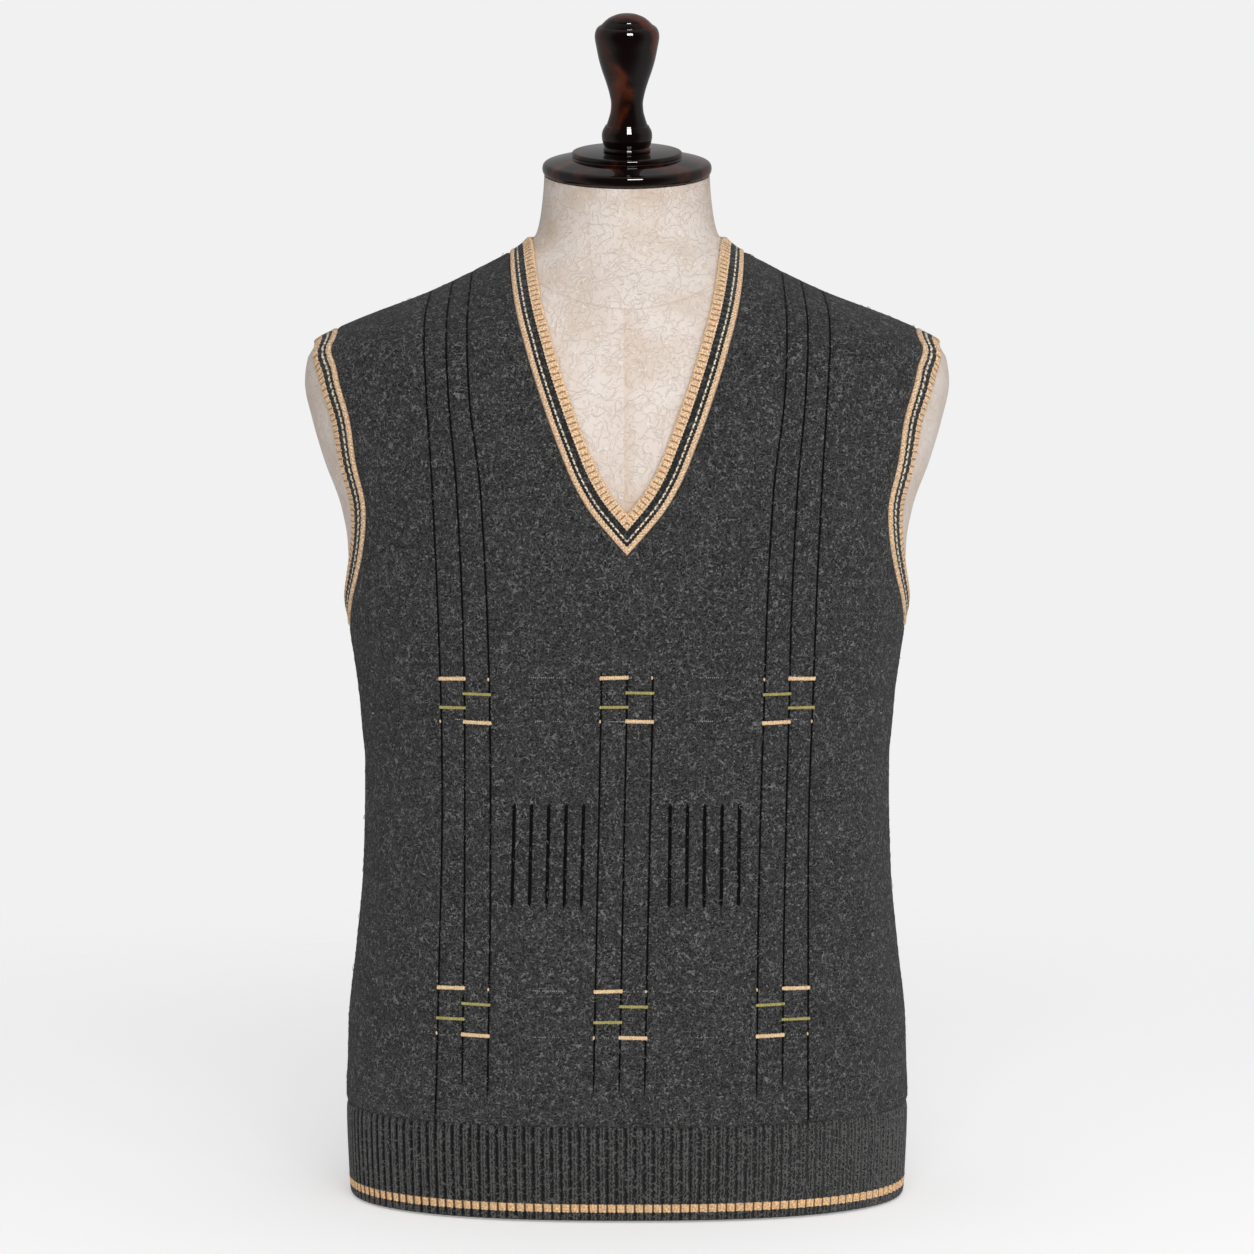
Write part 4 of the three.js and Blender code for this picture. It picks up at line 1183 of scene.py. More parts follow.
@dataclass
class FrontLines:
    """Where the long lines and the short slots lie on the front."""

    long_lines: Table = (
        (60, 88.4, 105.2, 122.4),
        (180, 88, 105, 121.2),
        (260, 88.4, 105.4, 120.4),
        (380, 90.4, 106.6, 122.6),
        (480, 95, 110.6, 126.6),
        (548, 103, 116.6, 131),
        (590, 104.6, 118.4, 133.2),
        (630, 102.6, 114.6, 127),
    )
    centre_spacing: float = 16.8
    centre_top: float = 364
    drift_top: float = 346
    drift_bottom: float = 130
    side_drift: float = 2.7
    centre_drift: float = 4.4
    width: float = 1.05
    depth: float = 1.0
    slot_first: float = 28.6
    slot_pitch: float = 11.35
    slot_count: int = 5
    slot_low: float = 208
    slot_high: float = 276
    slot_width: float = 1.8
    slot_lean: float = 1.6

    def drift(self, height: np.ndarray, amount: float) -> np.ndarray:
        """Give how far the lines have moved towards -X at a height below the upper rows."""
        part = np.clip((self.drift_top - height) / (self.drift_top - self.drift_bottom), 0, 1.3)
        return -amount * part

    def side_line(self, hand: Hand, column: int) -> Callable[[np.ndarray], np.ndarray]:
        """Give the curve of one of the three long lines of a side, the inner one first."""
        curve = Track([row[0] for row in self.long_lines], [row[column] for row in self.long_lines])
        return lambda height: hand.value * curve(height) + self.drift(height, self.side_drift)

    def centre_line(self, number: int) -> Callable[[np.ndarray], np.ndarray]:
        """Give the curve of a centre line, -1, 0 or 1."""
        return lambda height: number * self.centre_spacing + self.drift(height, self.centre_drift)

    def slot(self, hand: Hand, number: int) -> Callable[[np.ndarray], np.ndarray]:
        """Give the curve of one short slot, counted from the middle."""
        x = hand.value * (self.slot_first + self.slot_pitch * number) - 0.6
        middle = (self.slot_low + self.slot_high) / 2
        lean = self.slot_lean if hand is Hand.LEFT else self.slot_lean / 3
        return lambda height: x + lean * (height - middle) / (self.slot_high - self.slot_low)

    def furrows(self) -> list[Furrow]:
        """List every line and slot, from -X to +X."""
        ends = {1: 84.0, 2: 92.0, 3: 50.0}
        sides = {
            hand: [
                Furrow(self.side_line(hand, column), self.width, self.depth, ends[column], 700, 14)
                for column in (1, 2, 3)
            ]
            for hand in Hand
        }
        slots = {
            hand: [
                Furrow(self.slot(hand, n), self.slot_width, 1.0, self.slot_low, self.slot_high, 1.5)
                for n in range(self.slot_count)
            ]
            for hand in Hand
        }
        centre = [
            Furrow(self.centre_line(n), self.width, self.depth, 88, self.centre_top, 16)
            for n in (-1, 0, 1)
        ]
        left = sides[Hand.LEFT][::-1] + slots[Hand.LEFT][::-1]
        return [*left, *centre, *slots[Hand.RIGHT], *sides[Hand.RIGHT]]


FRONT_CREASES = (
    Crease((-82, 368), (-62, 352), 3.4, 1.1),
    Crease((-78, 362), (-70, 356), 5.5, 0.6),
    Crease((-83, 338), (-60, 323), 3.0, 0.9),
    Crease((-79, 396), (-76, 374), 3.2, 0.8),
    Crease((81, 372), (64, 357), 3.6, 1.0),
    Crease((83, 346), (66, 329), 3.0, 0.8),
    Crease((78, 398), (75, 380), 3.0, 0.7),
    Crease((-84, 300), (-58, 292), 9.0, 0.7),
    Crease((84, 304), (60, 291), 9.0, 0.6),
    Crease((-74, 128), (-50, 116), 10.0, 0.8),
    Crease((76, 122), (48, 112), 11.0, 0.7),
)
BACK_CREASES = (
    Crease((98, 366), (122, 348), 3.6, 1.0),
    Crease((97, 334), (118, 322), 3.2, 0.8),
    Crease((262, 370), (240, 354), 3.6, 1.0),
    Crease((263, 340), (244, 324), 3.0, 0.8),
    Crease((104, 292), (150, 282), 10.0, 0.9),
    Crease((256, 296), (214, 280), 10.0, 0.8),
    Crease((160, 262), (206, 268), 12.0, 0.7),
    Crease((118, 122), (146, 112), 11.0, 0.7),
    Crease((240, 118), (216, 110), 11.0, 0.7),
)


@dataclass
class BodyPanel:
    """The front or the back of the body, a shell of jersey from the hem rib to the neckline."""

    figure: Figure
    seams: Seams
    lines: FrontLines
    side: Side
    creases: Sequence[Crease]
    low: float = 63.8
    top: float = 652
    row_step: float = 3.9
    column_step: float = 3.9
    face: float = 2.7
    inside: float = 0.5
    seam_cut: float = 0.34
    roll: float = 1.0
    roll_width: float = 1.3
    blouse: float = 0.7

    def rows(self) -> np.ndarray:
        """Space the rows evenly over the flank, so that they crowd on the shoulder's slope."""
        fine = np.linspace(self.low, self.top, 600)
        flank = self.figure.point(np.radians(72) * np.ones_like(fine), fine)
        along = lengths(flank)
        count = round(along[-1] / self.row_step)
        heights = np.interp(np.linspace(0, along[-1], count + 1), along, fine)
        return np.concatenate([[self.low, self.low + 0.7, self.low + 1.8], heights[1:]])

    def front_turns(self, heights: np.ndarray, furrows: Sequence[Furrow]) -> np.ndarray:
        """Lay the front's columns along the furrows.

        Args:
            heights: The rows' heights.
            furrows: The sunk lines, from -X to +X.

        Returns:
            A turn for each row and column.
        """
        edge = QUARTER - SEAM_GAP / 2 / self.figure.front(300.0)
        columns = [np.full_like(heights, -edge)]
        middle = int(np.searchsorted(heights, 300))
        for number in range(len(furrows) + 1):
            before = columns[-1]
            line = furrows[number] if number < len(furrows) else None
            if line is None:
                after = np.full_like(heights, edge)
            else:
                after = self.figure.turn_at(line.at(heights) - line.width, heights)
            ends = self.figure.point(np.array([before[middle], after[middle]]), heights[middle])
            width = np.linalg.norm(ends[1] - ends[0])
            count = max(1, math.ceil(width / self.column_step))
            for part in np.linspace(0, 1, count + 1)[1:]:
                columns.append(before + (after - before) * part)
            if line is not None:
                for share in (-0.5, 0, 0.5, 1):
                    x = line.at(heights) + share * line.width
                    columns.append(self.figure.turn_at(x, heights))
        turns = np.stack(columns, axis=1)
        least = math.radians(0.12) * np.arange(turns.shape[1])
        return np.clip(turns, -edge + least, edge - least[::-1])

    def back_turns(self, heights: np.ndarray) -> np.ndarray:
        """Lay the back's columns evenly from side to side."""
        edge = QUARTER + SEAM_GAP / 2 / self.figure.back(300.0)
        fine = np.linspace(edge, 4 * QUARTER - edge, 400)
        along = lengths(self.figure.point(fine, np.full_like(fine, 300.0)))
        count = round(along[-1] / (self.column_step * 1.2))
        turns = np.interp(np.linspace(0, along[-1], count + 1), along, fine)
        return np.tile(turns, (len(heights), 1))

    def patch(self) -> Patch:
        """Cut the panel out of the figure.

        Returns:
            Polygons with turn, height and the two cloth coordinates at their corners.
        """
        heights = self.rows()
        if self.side is Side.FRONT:
            turns = self.front_turns(heights, self.lines.furrows())
        else:
            turns = self.back_turns(heights)
        levels = np.repeat(heights[:, None], turns.shape[1], axis=1)
        points = self.figure.point(turns, levels)
        across = np.linalg.norm(np.diff(points, axis=1), axis=-1)
        across = np.concatenate([np.zeros((len(heights), 1)), np.cumsum(across, axis=1)], axis=1)
        across -= across[:, across.shape[1] // 2, None]
        up = np.linalg.norm(np.diff(points, axis=0), axis=-1)
        up = np.concatenate([np.zeros((1, turns.shape[1])), np.cumsum(up, axis=0)])
        data = np.stack([turns, levels, across, up], axis=-1).reshape(-1, 4)
        patch = Patch(lattice(*turns.shape), data)
        for edge in (self.neck_side, self.arm_side):
            patch = patch.cut(edge(patch.data) - self.seam_cut)
            patch = patch.cut(edge(patch.data) - self.seam_cut - self.roll_width, both=True)
        return patch

    def neck_side(self, data: np.ndarray) -> np.ndarray:
        """Measure how far corners are outside the neckline seam."""
        return self.seams.neck_gap(self.figure.point(data[:, 0], data[:, 1]), data[:, 0])

    def arm_side(self, data: np.ndarray) -> np.ndarray:
        """Measure how far corners are outside the armhole seams."""
        return self.seams.armhole_gap(self.figure.point(data[:, 0], data[:, 1]))

    def build(self, name: str) -> bpy.types.Object:
        """Build the shell.

        Args:
            name: The piece's name.

        Returns:
            The object, with attributes furrow and outer.
        """
        patch = self.patch()
        turn, height = patch.data[:, 0], patch.data[:, 1]
        points = self.figure.point(turn, height)
        side = np.abs(np.abs(((turn + QUARTER) % (2 * QUARTER)) - QUARTER) - QUARTER)
        to_side = side * self.figure.half(height)
        edges = np.minimum(self.neck_side(patch.data), self.arm_side(patch.data))
        edges = np.minimum(edges, to_side) - self.seam_cut
        edges = np.minimum(np.maximum(edges, 0), height - self.low)
        sunk = self.roll * np.exp(-((np.maximum(edges, 0) / self.roll_width) ** 2))
        sunk -= self.blouse * smooth(height, self.low, self.low + 4) * smooth(height, 95, 72)
        for crease in self.creases:
            sunk += crease.relief(self.figure, points)
        # furrow marks the sunk lines, where the jersey material paints near-black shade.
        furrow = np.zeros(len(turn))
        if self.side is Side.FRONT:
            for line in self.lines.furrows():
                share = line.share(points[:, 0], height)
                furrow = np.maximum(furrow, share)
                sunk += line.depth * share
        outer = self.figure.lift(points, self.face - sunk)
        inner = self.figure.lift(points, self.inside)
        count = len(points)
        faces = list(patch.faces)
        faces += [tuple(i + count for i in reversed(face)) for face in patch.faces]
        faces += [(b, a, a + count, b + count) for a, b in rim(patch.faces)]
        order = np.array([i % count for face in faces for i in face])
        marks = {
            "furrow": np.concatenate([furrow, furrow * 0]),
            "outer": np.concatenate([np.ones(count), np.zeros(count)]),
        }
        both = np.concatenate([outer, inner])
        return make_object(name, both, faces, patch.data[order][:, 2:4], **marks)


@dataclass(frozen=True)
class BandSection:
    """A band's section: distance from the seam, height over the figure, and how much rib it has."""

    rows: Table = (
        (0.1, 0.5, 0),
        (0.1, 1.5, 0),
        (0.35, 2.1, 0.3),
        (1.0, 2.55, 0.6),
        (1.9, 2.75, 0.7),
        (2.8, 2.65, 0.7),
        (3.7, 2.3, 0.7),
        (4.3, 2.2, 0.8),
        (5.9, 2.2, 0.9),
        (6.7, 2.3, 0.9),
        (7.5, 2.2, 0.9),
        (9.2, 2.25, 1),
        (10.8, 2.25, 1),
        (11.5, 2.35, 1),
        (13.4, 2.4, 1),
        (15.2, 2.4, 1),
        (16.4, 2.4, 0.8),
        (17.2, 2.35, 0.3),
        (17.8, 2.0, 0.1),
        (18.1, 1.3, 0),
        (18.1, 0.5, 0),
        (12.0, 0.5, 0),
        (6.0, 0.5, 0),
    )


@dataclass
class SeamBand:
    """A ribbed band that is sewn to a seam and lies over the form towards its free edge."""

    figure: Figure
    section: BandSection = field(default_factory=BandSection)
    points_per_rib: int = 8
    rise: float = 0.7
    roundness: float = 0.55

    def sweep(self, seam: np.ndarray, headings: np.ndarray) -> np.ndarray:
        """Lay the section along a seam.

        Args:
            seam: The stations on the seam.
            headings: The way to the free edge at each of them.

        Returns:
            Points with the section along the first axis and the stations along the second.
        """
        rows = self.section.rows
        marks = sorted({row[0] for row in rows})
        places = dict(zip(marks, self.figure.walk(seam, headings, marks)))
        return np.stack([self.figure.lift(places[out], up) for out, up, _ in rows])

    def headings(self, seam: np.ndarray, closed: bool) -> np.ndarray:
        """Give the directions in the cloth that are square to a seam."""
        if closed:
            along = np.roll(seam, -1, axis=0) - np.roll(seam, 1, axis=0)
        else:
            along = np.gradient(seam, axis=0)
        return unit(np.cross(self.figure.normal(seam), along))

    def dress(self, band: bpy.types.Object, pitch: float, material: bpy.types.Material) -> None:
        """Turn the band's faces out and raise its ribs."""
        repair(band)
        inputs = {"Pitch": pitch, "Rise": self.rise, "Roundness": self.roundness}
        grow(band, ribbing_tree(), Material=material, **inputs)


@dataclass
class NeckBand(SeamBand):
    """The band round the neckline, mitred at the point of the V."""

    seams: Seams | None = None
    pitch: float = 4.4
    before: float = 4.0

    def build(self, name: str, material: bpy.types.Material) -> bpy.types.Object:
        """Build one half, cut it at the middle plane and join it to its mirror image.

        Args:
            name: The piece's name.
            material: Its finish.

        Returns:
            The object.
        """
        line = self.seams.neck_line(self.before, 0.03)
        ribs = round(lengths(line)[-1] / self.pitch)
        count = ribs * self.points_per_rib
        seam = self.figure.settle(resample(line, count))
        rings = self.sweep(seam, self.headings(seam, False))
        rows = self.section.rows
        pitch = lengths(seam)[-1] / ribs
        along = np.tile(np.arange(count + 1) * pitch / self.points_per_rib, len(rows))
        across = np.repeat([row[0] for row in rows], count + 1)
        relief = np.repeat([row[2] for row in rows], count + 1)
        data = np.column_stack([rings.reshape(-1, 3), along, across, relief])
        faces = lattice(len(rows) + 1, count + 1)
        faces = [tuple(i % len(data) for i in face) for face in faces]
        half = Patch(faces, data).cut(data[:, 0])
        other = half.data * [-1, 1, 1, -1, 1, 1]
        size = len(half.data)
        faces = half.faces + [tuple(i + size for i in reversed(face)) for face in half.faces]
        whole = np.concatenate([half.data, other])
        order = np.array([i for face in faces for i in face])
        marks = {"along": whole[:, 3], "relief": whole[:, 5]}
        band = make_object(name, whole[:, :3], faces, whole[order][:, 3:5], **marks)
        self.dress(band, pitch, material)
        return band


@dataclass
class ArmholeBand(SeamBand):
    """The band round one armhole, a closed ring."""

    seams: Seams | None = None
    ribs: int = 106

    def build(self, name: str, hand: Hand, material: bpy.types.Material) -> bpy.types.Object:
        """Build the ring.

        Args:
            name: The piece's name.
            hand: Which armhole it is for.
            material: Its finish.

        Returns:
            The object.
        """
        count = self.ribs * self.points_per_rib
        seam = self.figure.settle(resample(self.seams.armhole_line(), count))[:-1]
        headings = self.headings(seam, True)
        middle = np.array([seam[0, 0], 0, self.seams.armhole_middle])
        headings *= np.sign(np.dot(headings[0], middle - seam[0]))
        rings = self.sweep(seam, headings) * [hand.value, 1, 1]
        rows = self.section.rows
        size = len(rows) * count
        faces = [tuple(i % size for i in face) for face in lattice(len(rows) + 1, count, closed=True)]
        girth = lengths(np.concatenate([seam, seam[:1]]))[-1]
        step = girth / count
        out = np.array([row[0] for row in rows])
        corners = np.array(faces)
        column, row = corners % count, corners // count
        wrapped = (column.max(axis=1) - column.min(axis=1) > 1)[:, None] & (column == 0)
        uv = np.stack([np.where(wrapped, count, column) * step, out[row]], axis=-1)
        marks = {
            "along": np.tile(np.arange(count) * step, len(rows)),
            "relief": np.repeat([r[2] for r in rows], count),
        }
        band = make_object(name, rings.reshape(-1, 3), faces, uv.reshape(-1, 2), **marks)
        self.dress(band, girth / self.ribs, material)
        return band


@dataclass
class HemRib:
    """The hem's rib, front or back: height, height over the figure and how much rib it has."""

    figure: Figure
    ribs: int = 164
    points_per_rib: int = 8
    rise: float = 1.4
    roundness: float = 0.75
    outline: Table = (
        (1.2, 0.5, 0),
        (1.2, 1.3, 0),
        (1.5, 2.0, 0.2),
        (2.4, 2.0, 0.6),
        (5.6, 1.9, 0.9),
        (9.4, 1.85, 1),
        (10.4, 2.0, 1),
        (13.0, 2.0, 1),
        (14.0, 1.85, 1),
        (22, 1.85, 1),
        (32, 1.85, 1),
        (42, 1.85, 1),
        (52, 1.85, 1),
        (58, 1.8, 1),
        (61, 1.7, 0.9),
        (62.6, 1.4, 0.7),
        (63.5, 1.2, 0.3),
        (63.5, 0.5, 0),
        (44, 0.5, 0),
        (24, 0.5, 0),
    )

    def build(self, name: str, side: Side, material: bpy.types.Material) -> bpy.types.Object:
        """Build one half of the hem rib, with closed ends at the side seams.

        Args:
            name: The piece's name.
            side: Front or back.
            material: Its finish.

        Returns:
            The object.
        """
        middle = 34.0
        fine = np.linspace(-QUARTER, QUARTER, 721)
        if side is Side.BACK:
            fine = fine + 2 * QUARTER
        along = lengths(self.figure.point(fine, np.full_like(fine, middle)))
        count = self.ribs // 2 * self.points_per_rib
        trim = SEAM_GAP / 2
        goals = np.clip(np.linspace(0, along[-1], count + 1), trim, along[-1] - trim)
        turns = np.interp(goals, along, fine)
        heights = np.array([row[0] for row in self.outline])
        places = self.figure.point(turns[None, :], heights[:, None])
        rings = self.figure.lift(places, np.repeat([[r[1]] for r in self.outline], count + 1, axis=1))
        size = rings.shape[0] * rings.shape[1]
        width = count + 1
        faces = [tuple(i % size for i in face) for face in lattice(len(heights) + 1, width)]
        start = tuple(range(0, size, width))
        faces += [start, tuple(i + count for i in reversed(start))]
        place = np.stack([np.tile(goals, len(heights)), np.repeat(heights, width)], axis=-1)
        order = np.array([i for face in faces for i in face])
        marks = {
            "along": np.tile(np.linspace(0, along[-1], width), len(heights)),
            "relief": np.repeat([row[2] for row in self.outline], width),
        }
        hem = make_object(name, rings.reshape(-1, 3), faces, place[order], **marks)
        repair(hem)
        pitch = 2 * along[-1] / self.ribs
        inputs = {"Pitch": pitch, "Rise": self.rise, "Roundness": self.roundness}
        return grow(hem, ribbing_tree(), Material=material, **inputs)


@dataclass
class YarnWork:
    """Raised yarn rows on the front: blocks of floats between the lines, and pale flecks."""

    figure: Figure
    lines: FrontLines
    upper_rows: Sequence[float] = (361, 351, 341.5, 332)
    lower_rows: Sequence[float] = (153, 143, 132.8, 122.7)
    side_drop: float = 1.7
    over: float = 2.9
    fleck_reach: float = 168

    def path(self, ends: tuple[float, float], height: float, tilt: float) -> np.ndarray:
        """Follow the cloth from one x to another.

        Args:
            ends: Where the row starts and ends along X.
            height: Its height.
            tilt: How much higher it ends than it starts.

        Returns:
            Its points on the figure.
        """
        part = np.linspace(0, 1, 7)
        level = height + tilt * (part - 0.5)
        x = ends[0] + (ends[1] - ends[0]) * part
        return self.figure.point(self.figure.turn_at(x, level), level)

    def blocks(self) -> list[tuple[list[Callable[[np.ndarray], np.ndarray]], float, bool]]:
        """List the blocks: their three lines from the one with the first row on, their drop
        beside the centre block, and whether they are at the side."""
        sides = [
            ([self.lines.side_line(hand, c) for c in (3, 2, 1)], self.side_drop, True)
            for hand in Hand
        ]
        centre = ([self.lines.centre_line(n) for n in (-1, 0, 1)], 0.0, False)
        return [*sides, centre]

    def floats(self) -> dict[str, list[np.ndarray]]:
        """Lay out every float and tick.

        Returns:
            The paths of the tan floats, the olive floats and the tan ticks.
        """
        found: dict[str, list[np.ndarray]] = {"tan": [], "olive": [], "tick": []}
        tilts = (0.5, -0.3, 0.2, -0.4)
        for lines, drop, at_side in self.blocks():
            for rows in (self.upper_rows, self.lower_rows):
                for number, base in enumerate(rows):
                    height = base - (drop if rows is self.upper_rows else 0.0)
                    first = 0 if number in (0, 2) else 1
                    ends = (float(lines[first](height)), float(lines[first + 1](height)))
                    kind = "tan" if number in (0, 3) else "olive"
                    inset = 0.9 * np.sign(ends[1] - ends[0])
                    span = (ends[0] - inset * 0.4, ends[1] + inset * 0.4)
                    found[kind].append(self.path(span, height, tilts[number]))
                for number, line in ((0, lines[2]), (3, lines[0])):
                    height = rows[number] - (drop if rows is self.upper_rows else 0.0)
                    x = float(line(height))
                    found["tick"].append(self.path((x - 0.5, x + 0.5), height, 0.0))
        return found

    def edges(self, name: str, paths: Sequence[np.ndarray], over: float) -> bpy.types.Object:
        """Make a mesh of bare edges from paths.

        Args:
            name: The piece's name.
            paths: The rows of stitches.
            over: How high over the figure they lie.

        Returns:
            The object, with the attribute out.
        """
        points = np.concatenate(paths)
        normals = self.figure.normal(points)
        piece = make_object(name, self.figure.lift(points, over), [])
        edges, start = [], 0
        for path in paths:
            edges += [(start + i, start + i + 1) for i in range(len(path) - 1)]
            start += len(path)
        piece.data.edges.add(len(edges))
        piece.data.edges.foreach_set("vertices", np.array(edges).ravel())
        way = piece.data.attributes.new("out", "FLOAT_VECTOR", "POINT")
        way.data.foreach_set("vector", normals.astype(np.float32).ravel())
        piece.data.update()
        return piece

    def build(self, yarns: Mapping[str, bpy.types.Material]) -> list[bpy.types.Object]:
        """Stitch the floats, the ticks and the flecks.

        Args:
            yarns: The yarns' finishes, by colour.

        Returns:
            The objects.
        """
        tree = stitches_tree()
        paths = self.floats()
        made = []
        for number, (kind, yarn) in enumerate((("tan", "peach"), ("olive", "olive"))):
            piece = self.edges(f"yarn_floats_{kind}", paths[kind], self.over)
            sizes = {"Pitch": 1.15, "Width": 1.7, "Height": 2.9, "Bulge": 1.5}
            if kind == "olive":
                sizes["Height"] = 2.3
            made.append(grow(piece, tree, Material=yarns[yarn], Seed=number, **sizes))
        ticks = self.edges("yarn_ticks", paths["tick"], self.over)
        sizes = {"Pitch": 1.2, "Width": 1.3, "Height": 2.6, "Bulge": 1.3}
        made.append(grow(ticks, tree, Material=yarns["peach"], Seed=3, **sizes))
        rows = [
            self.path((-self.fleck_reach, self.fleck_reach), rows[n], 0.0)
            for rows in (self.upper_rows, self.lower_rows)
            for n in (0, 3)
        ]
        flecks = self.edges("row_flecks", rows, self.over)
        sizes = {"Pitch": 1.3, "Width": 0.9, "Height": 1.05, "Bulge": 1.2, "Keep": 0.6}
        made.append(grow(flecks, tree, Material=yarns["grey"], Seed=5, **sizes))
        return made


@dataclass
class TorsoForm:
    """The limbless form inside the vest, with a seam down its front and one round its neck."""

    figure: Figure
    columns: int = 180
    lean: float = math.radians(12)
    neck_top: tuple[float, float, float] = (0, -12, 692)
    top: float = 730
    seam_x: float = -1.5
    seam_width: float = 0.8
    seam_depth: float = 0.35
    neck_seam: float = 601.7
    neck_seam_rise: float = 19.0
    neck_seam_reach: float = 62.0
    back_rise: float = 36.0

    def rows(self) -> np.ndarray:
        """Space the rows: wide under the cloth, close where the form shows."""
        low = np.linspace(0, 380, 24)
        shown = np.arange(386, 590, 4.0)
        neck = np.arange(590, 680, 2.0)
        near = self.neck_seam + np.array([-0.8, -0.4, 0, 0.4, 0.8])
        top = np.arange(682, self.top + 1, 4.0)
        return np.unique(np.round(np.concatenate([low, shown, neck, near, top]), 2))

    def turns(self) -> np.ndarray:
        """Space the columns evenly, with a few on the front seam."""
        even = np.linspace(-2 * QUARTER, 2 * QUARTER, self.columns, endpoint=False)
        seam = np.arctan2(self.seam_x + np.array([-0.8, -0.4, 0, 0.4, 0.8]), 90.0)
        return np.sort(np.concatenate([even[np.abs(even) > 0.03], seam]))

    def build(self, name: str, material: bpy.types.Material) -> bpy.types.Object:
        """Build the form, cut square to the lean of its neck.

        Args:
            name: The piece's name.
            material: Its finish.

        Returns:
            The object, with the attribute furrow on its seams.
        """
        turns = self.turns()
        base = np.repeat(self.rows()[:, None], len(turns), axis=1)
        rise = np.zeros_like(turns)
        for _ in range(60):
            across = self.figure.point(turns, self.neck_seam + rise)[:, 0] / self.neck_seam_reach
            goal = np.minimum(self.neck_seam_rise * across**2, self.back_rise)
            rise = rise * 0.75 + goal * 0.25
        at_side = rise[np.abs(turns - QUARTER).argmin()]
        rise = np.where(np.cos(turns) < 0, at_side, rise)
        window = smooth(base, 530, self.neck_seam) * smooth(base, 690, self.neck_seam)
        heights = base + rise[None, :] * window
        places = self.figure.point(turns[None, :], heights)
        normal = self.figure.normal(places)
        on_front = (places[..., 1] < 0) & (base > 380) & (base < self.neck_seam)
        off = np.abs(places[..., 0] - self.seam_x) / self.seam_width
        seam = np.clip(1 - off, 0, 1) * on_front
        seam = np.maximum(seam, np.clip(1 - np.abs(base - self.neck_seam) / self.seam_width, 0, 1))
        inset = self.figure.ease(heights) + self.seam_depth * seam
        points = places - normal * inset[..., None]
        points[..., 2] = heights
        points[..., 2] = np.maximum(points[..., 2], 0)
        count = len(turns)
        axis = np.array([0, -math.sin(self.lean), math.cos(self.lean)])
        flat = points.reshape(-1, 3)
        over = (flat - self.neck_top) @ axis
        data = np.column_stack([flat, seam.reshape(-1)])
        patch = Patch(lattice(len(base), count, closed=True), data).cut(-over)
        loops = rim(patch.faces)
        chain = dict(loops)
        faces = list(patch.faces)
        while chain:
            first, here = chain.popitem()
            loop = [first]
            while here != first:
                loop.append(here)
                here = chain.pop(here)
            faces.append(tuple(reversed(loop)))
        piece = make_object(name, patch.data[:, :3], faces, furrow=patch.data[:, 3])
        repair(piece)
        piece.data.materials.append(material)
        sharpen(piece)
        return piece


def sharpen(piece: bpy.types.Object, angle: float = 40) -> None:
    """Mark the edges of a smooth mesh that bend by more than an angle in degrees."""
    piece.data.set_sharp_from_angle(angle=math.radians(angle))


@dataclass
class Turning:
    """A lacquered turning on the neck's leaning axis, its outline in smooth runs."""

    runs: Sequence[Table]
    above: float
    segments: int = 144
    step: float = 0.8
    lean: float = math.radians(12)
    foot: tuple[float, float, float] = (0, -12, 692)

    def outline(self) -> np.ndarray:
        """Smooth each run of the outline and join them.

        Returns:
            Radius and height of each point, from the foot's middle to the top's.
        """
        found = []
        for run in self.runs:
            rough = np.array(run, float)
            along = np.concatenate([[0], np.cumsum(np.linalg.norm(np.diff(rough, axis=0), axis=1))])
            count = max(1, round(along[-1] / self.step)) if len(run) > 2 else 1
            goals = np.linspace(0, along[-1], count + 1)
            radius, up = (Track(along, rough[:, k])(goals) for k in (0, 1))
            found.append(np.stack([radius, up], axis=-1))
        return np.concatenate([found[0], *[part[1:] for part in found[1:]]])

    def build(self, name: str, material: bpy.types.Material) -> bpy.types.Object:
        """Turn the outline.

        Args:
            name: The piece's name.
            material: Its finish.

        Returns:
            The object.
        """
        line = self.outline()[1:-1]
        angle = np.linspace(0, 4 * QUARTER, self.segments, endpoint=False)
        radius, up = line[:, :1], line[:, 1:] + self.above
        rings = np.stack([radius * np.sin(angle), -radius * np.cos(angle), up + 0 * angle], axis=-1)
        points = rings.reshape(-1, 3)
        cos, sin = math.cos(self.lean), math.sin(self.lean)
        turn = np.array([[1, 0, 0], [0, cos, -sin], [0, sin, cos]])
        size = self.segments
        faces = lattice(len(line), size, closed=True)
        hubs = np.array([[0, 0, line[0, 1] + self.above], [0, 0, self.outline()[-1, 1] + self.above]])
        last = len(points)
        for i in range(size):
            j = (i + 1) % size
            faces.append((last, j, i))
            start = last - size
            faces.append((last + 1, start + i, start + j))
        placed = np.concatenate([points, hubs]) @ turn.T + self.foot
        piece = make_object(name, placed, faces)
        repair(piece)
        piece.data.materials.append(material)
        sharpen(piece)
        return piece


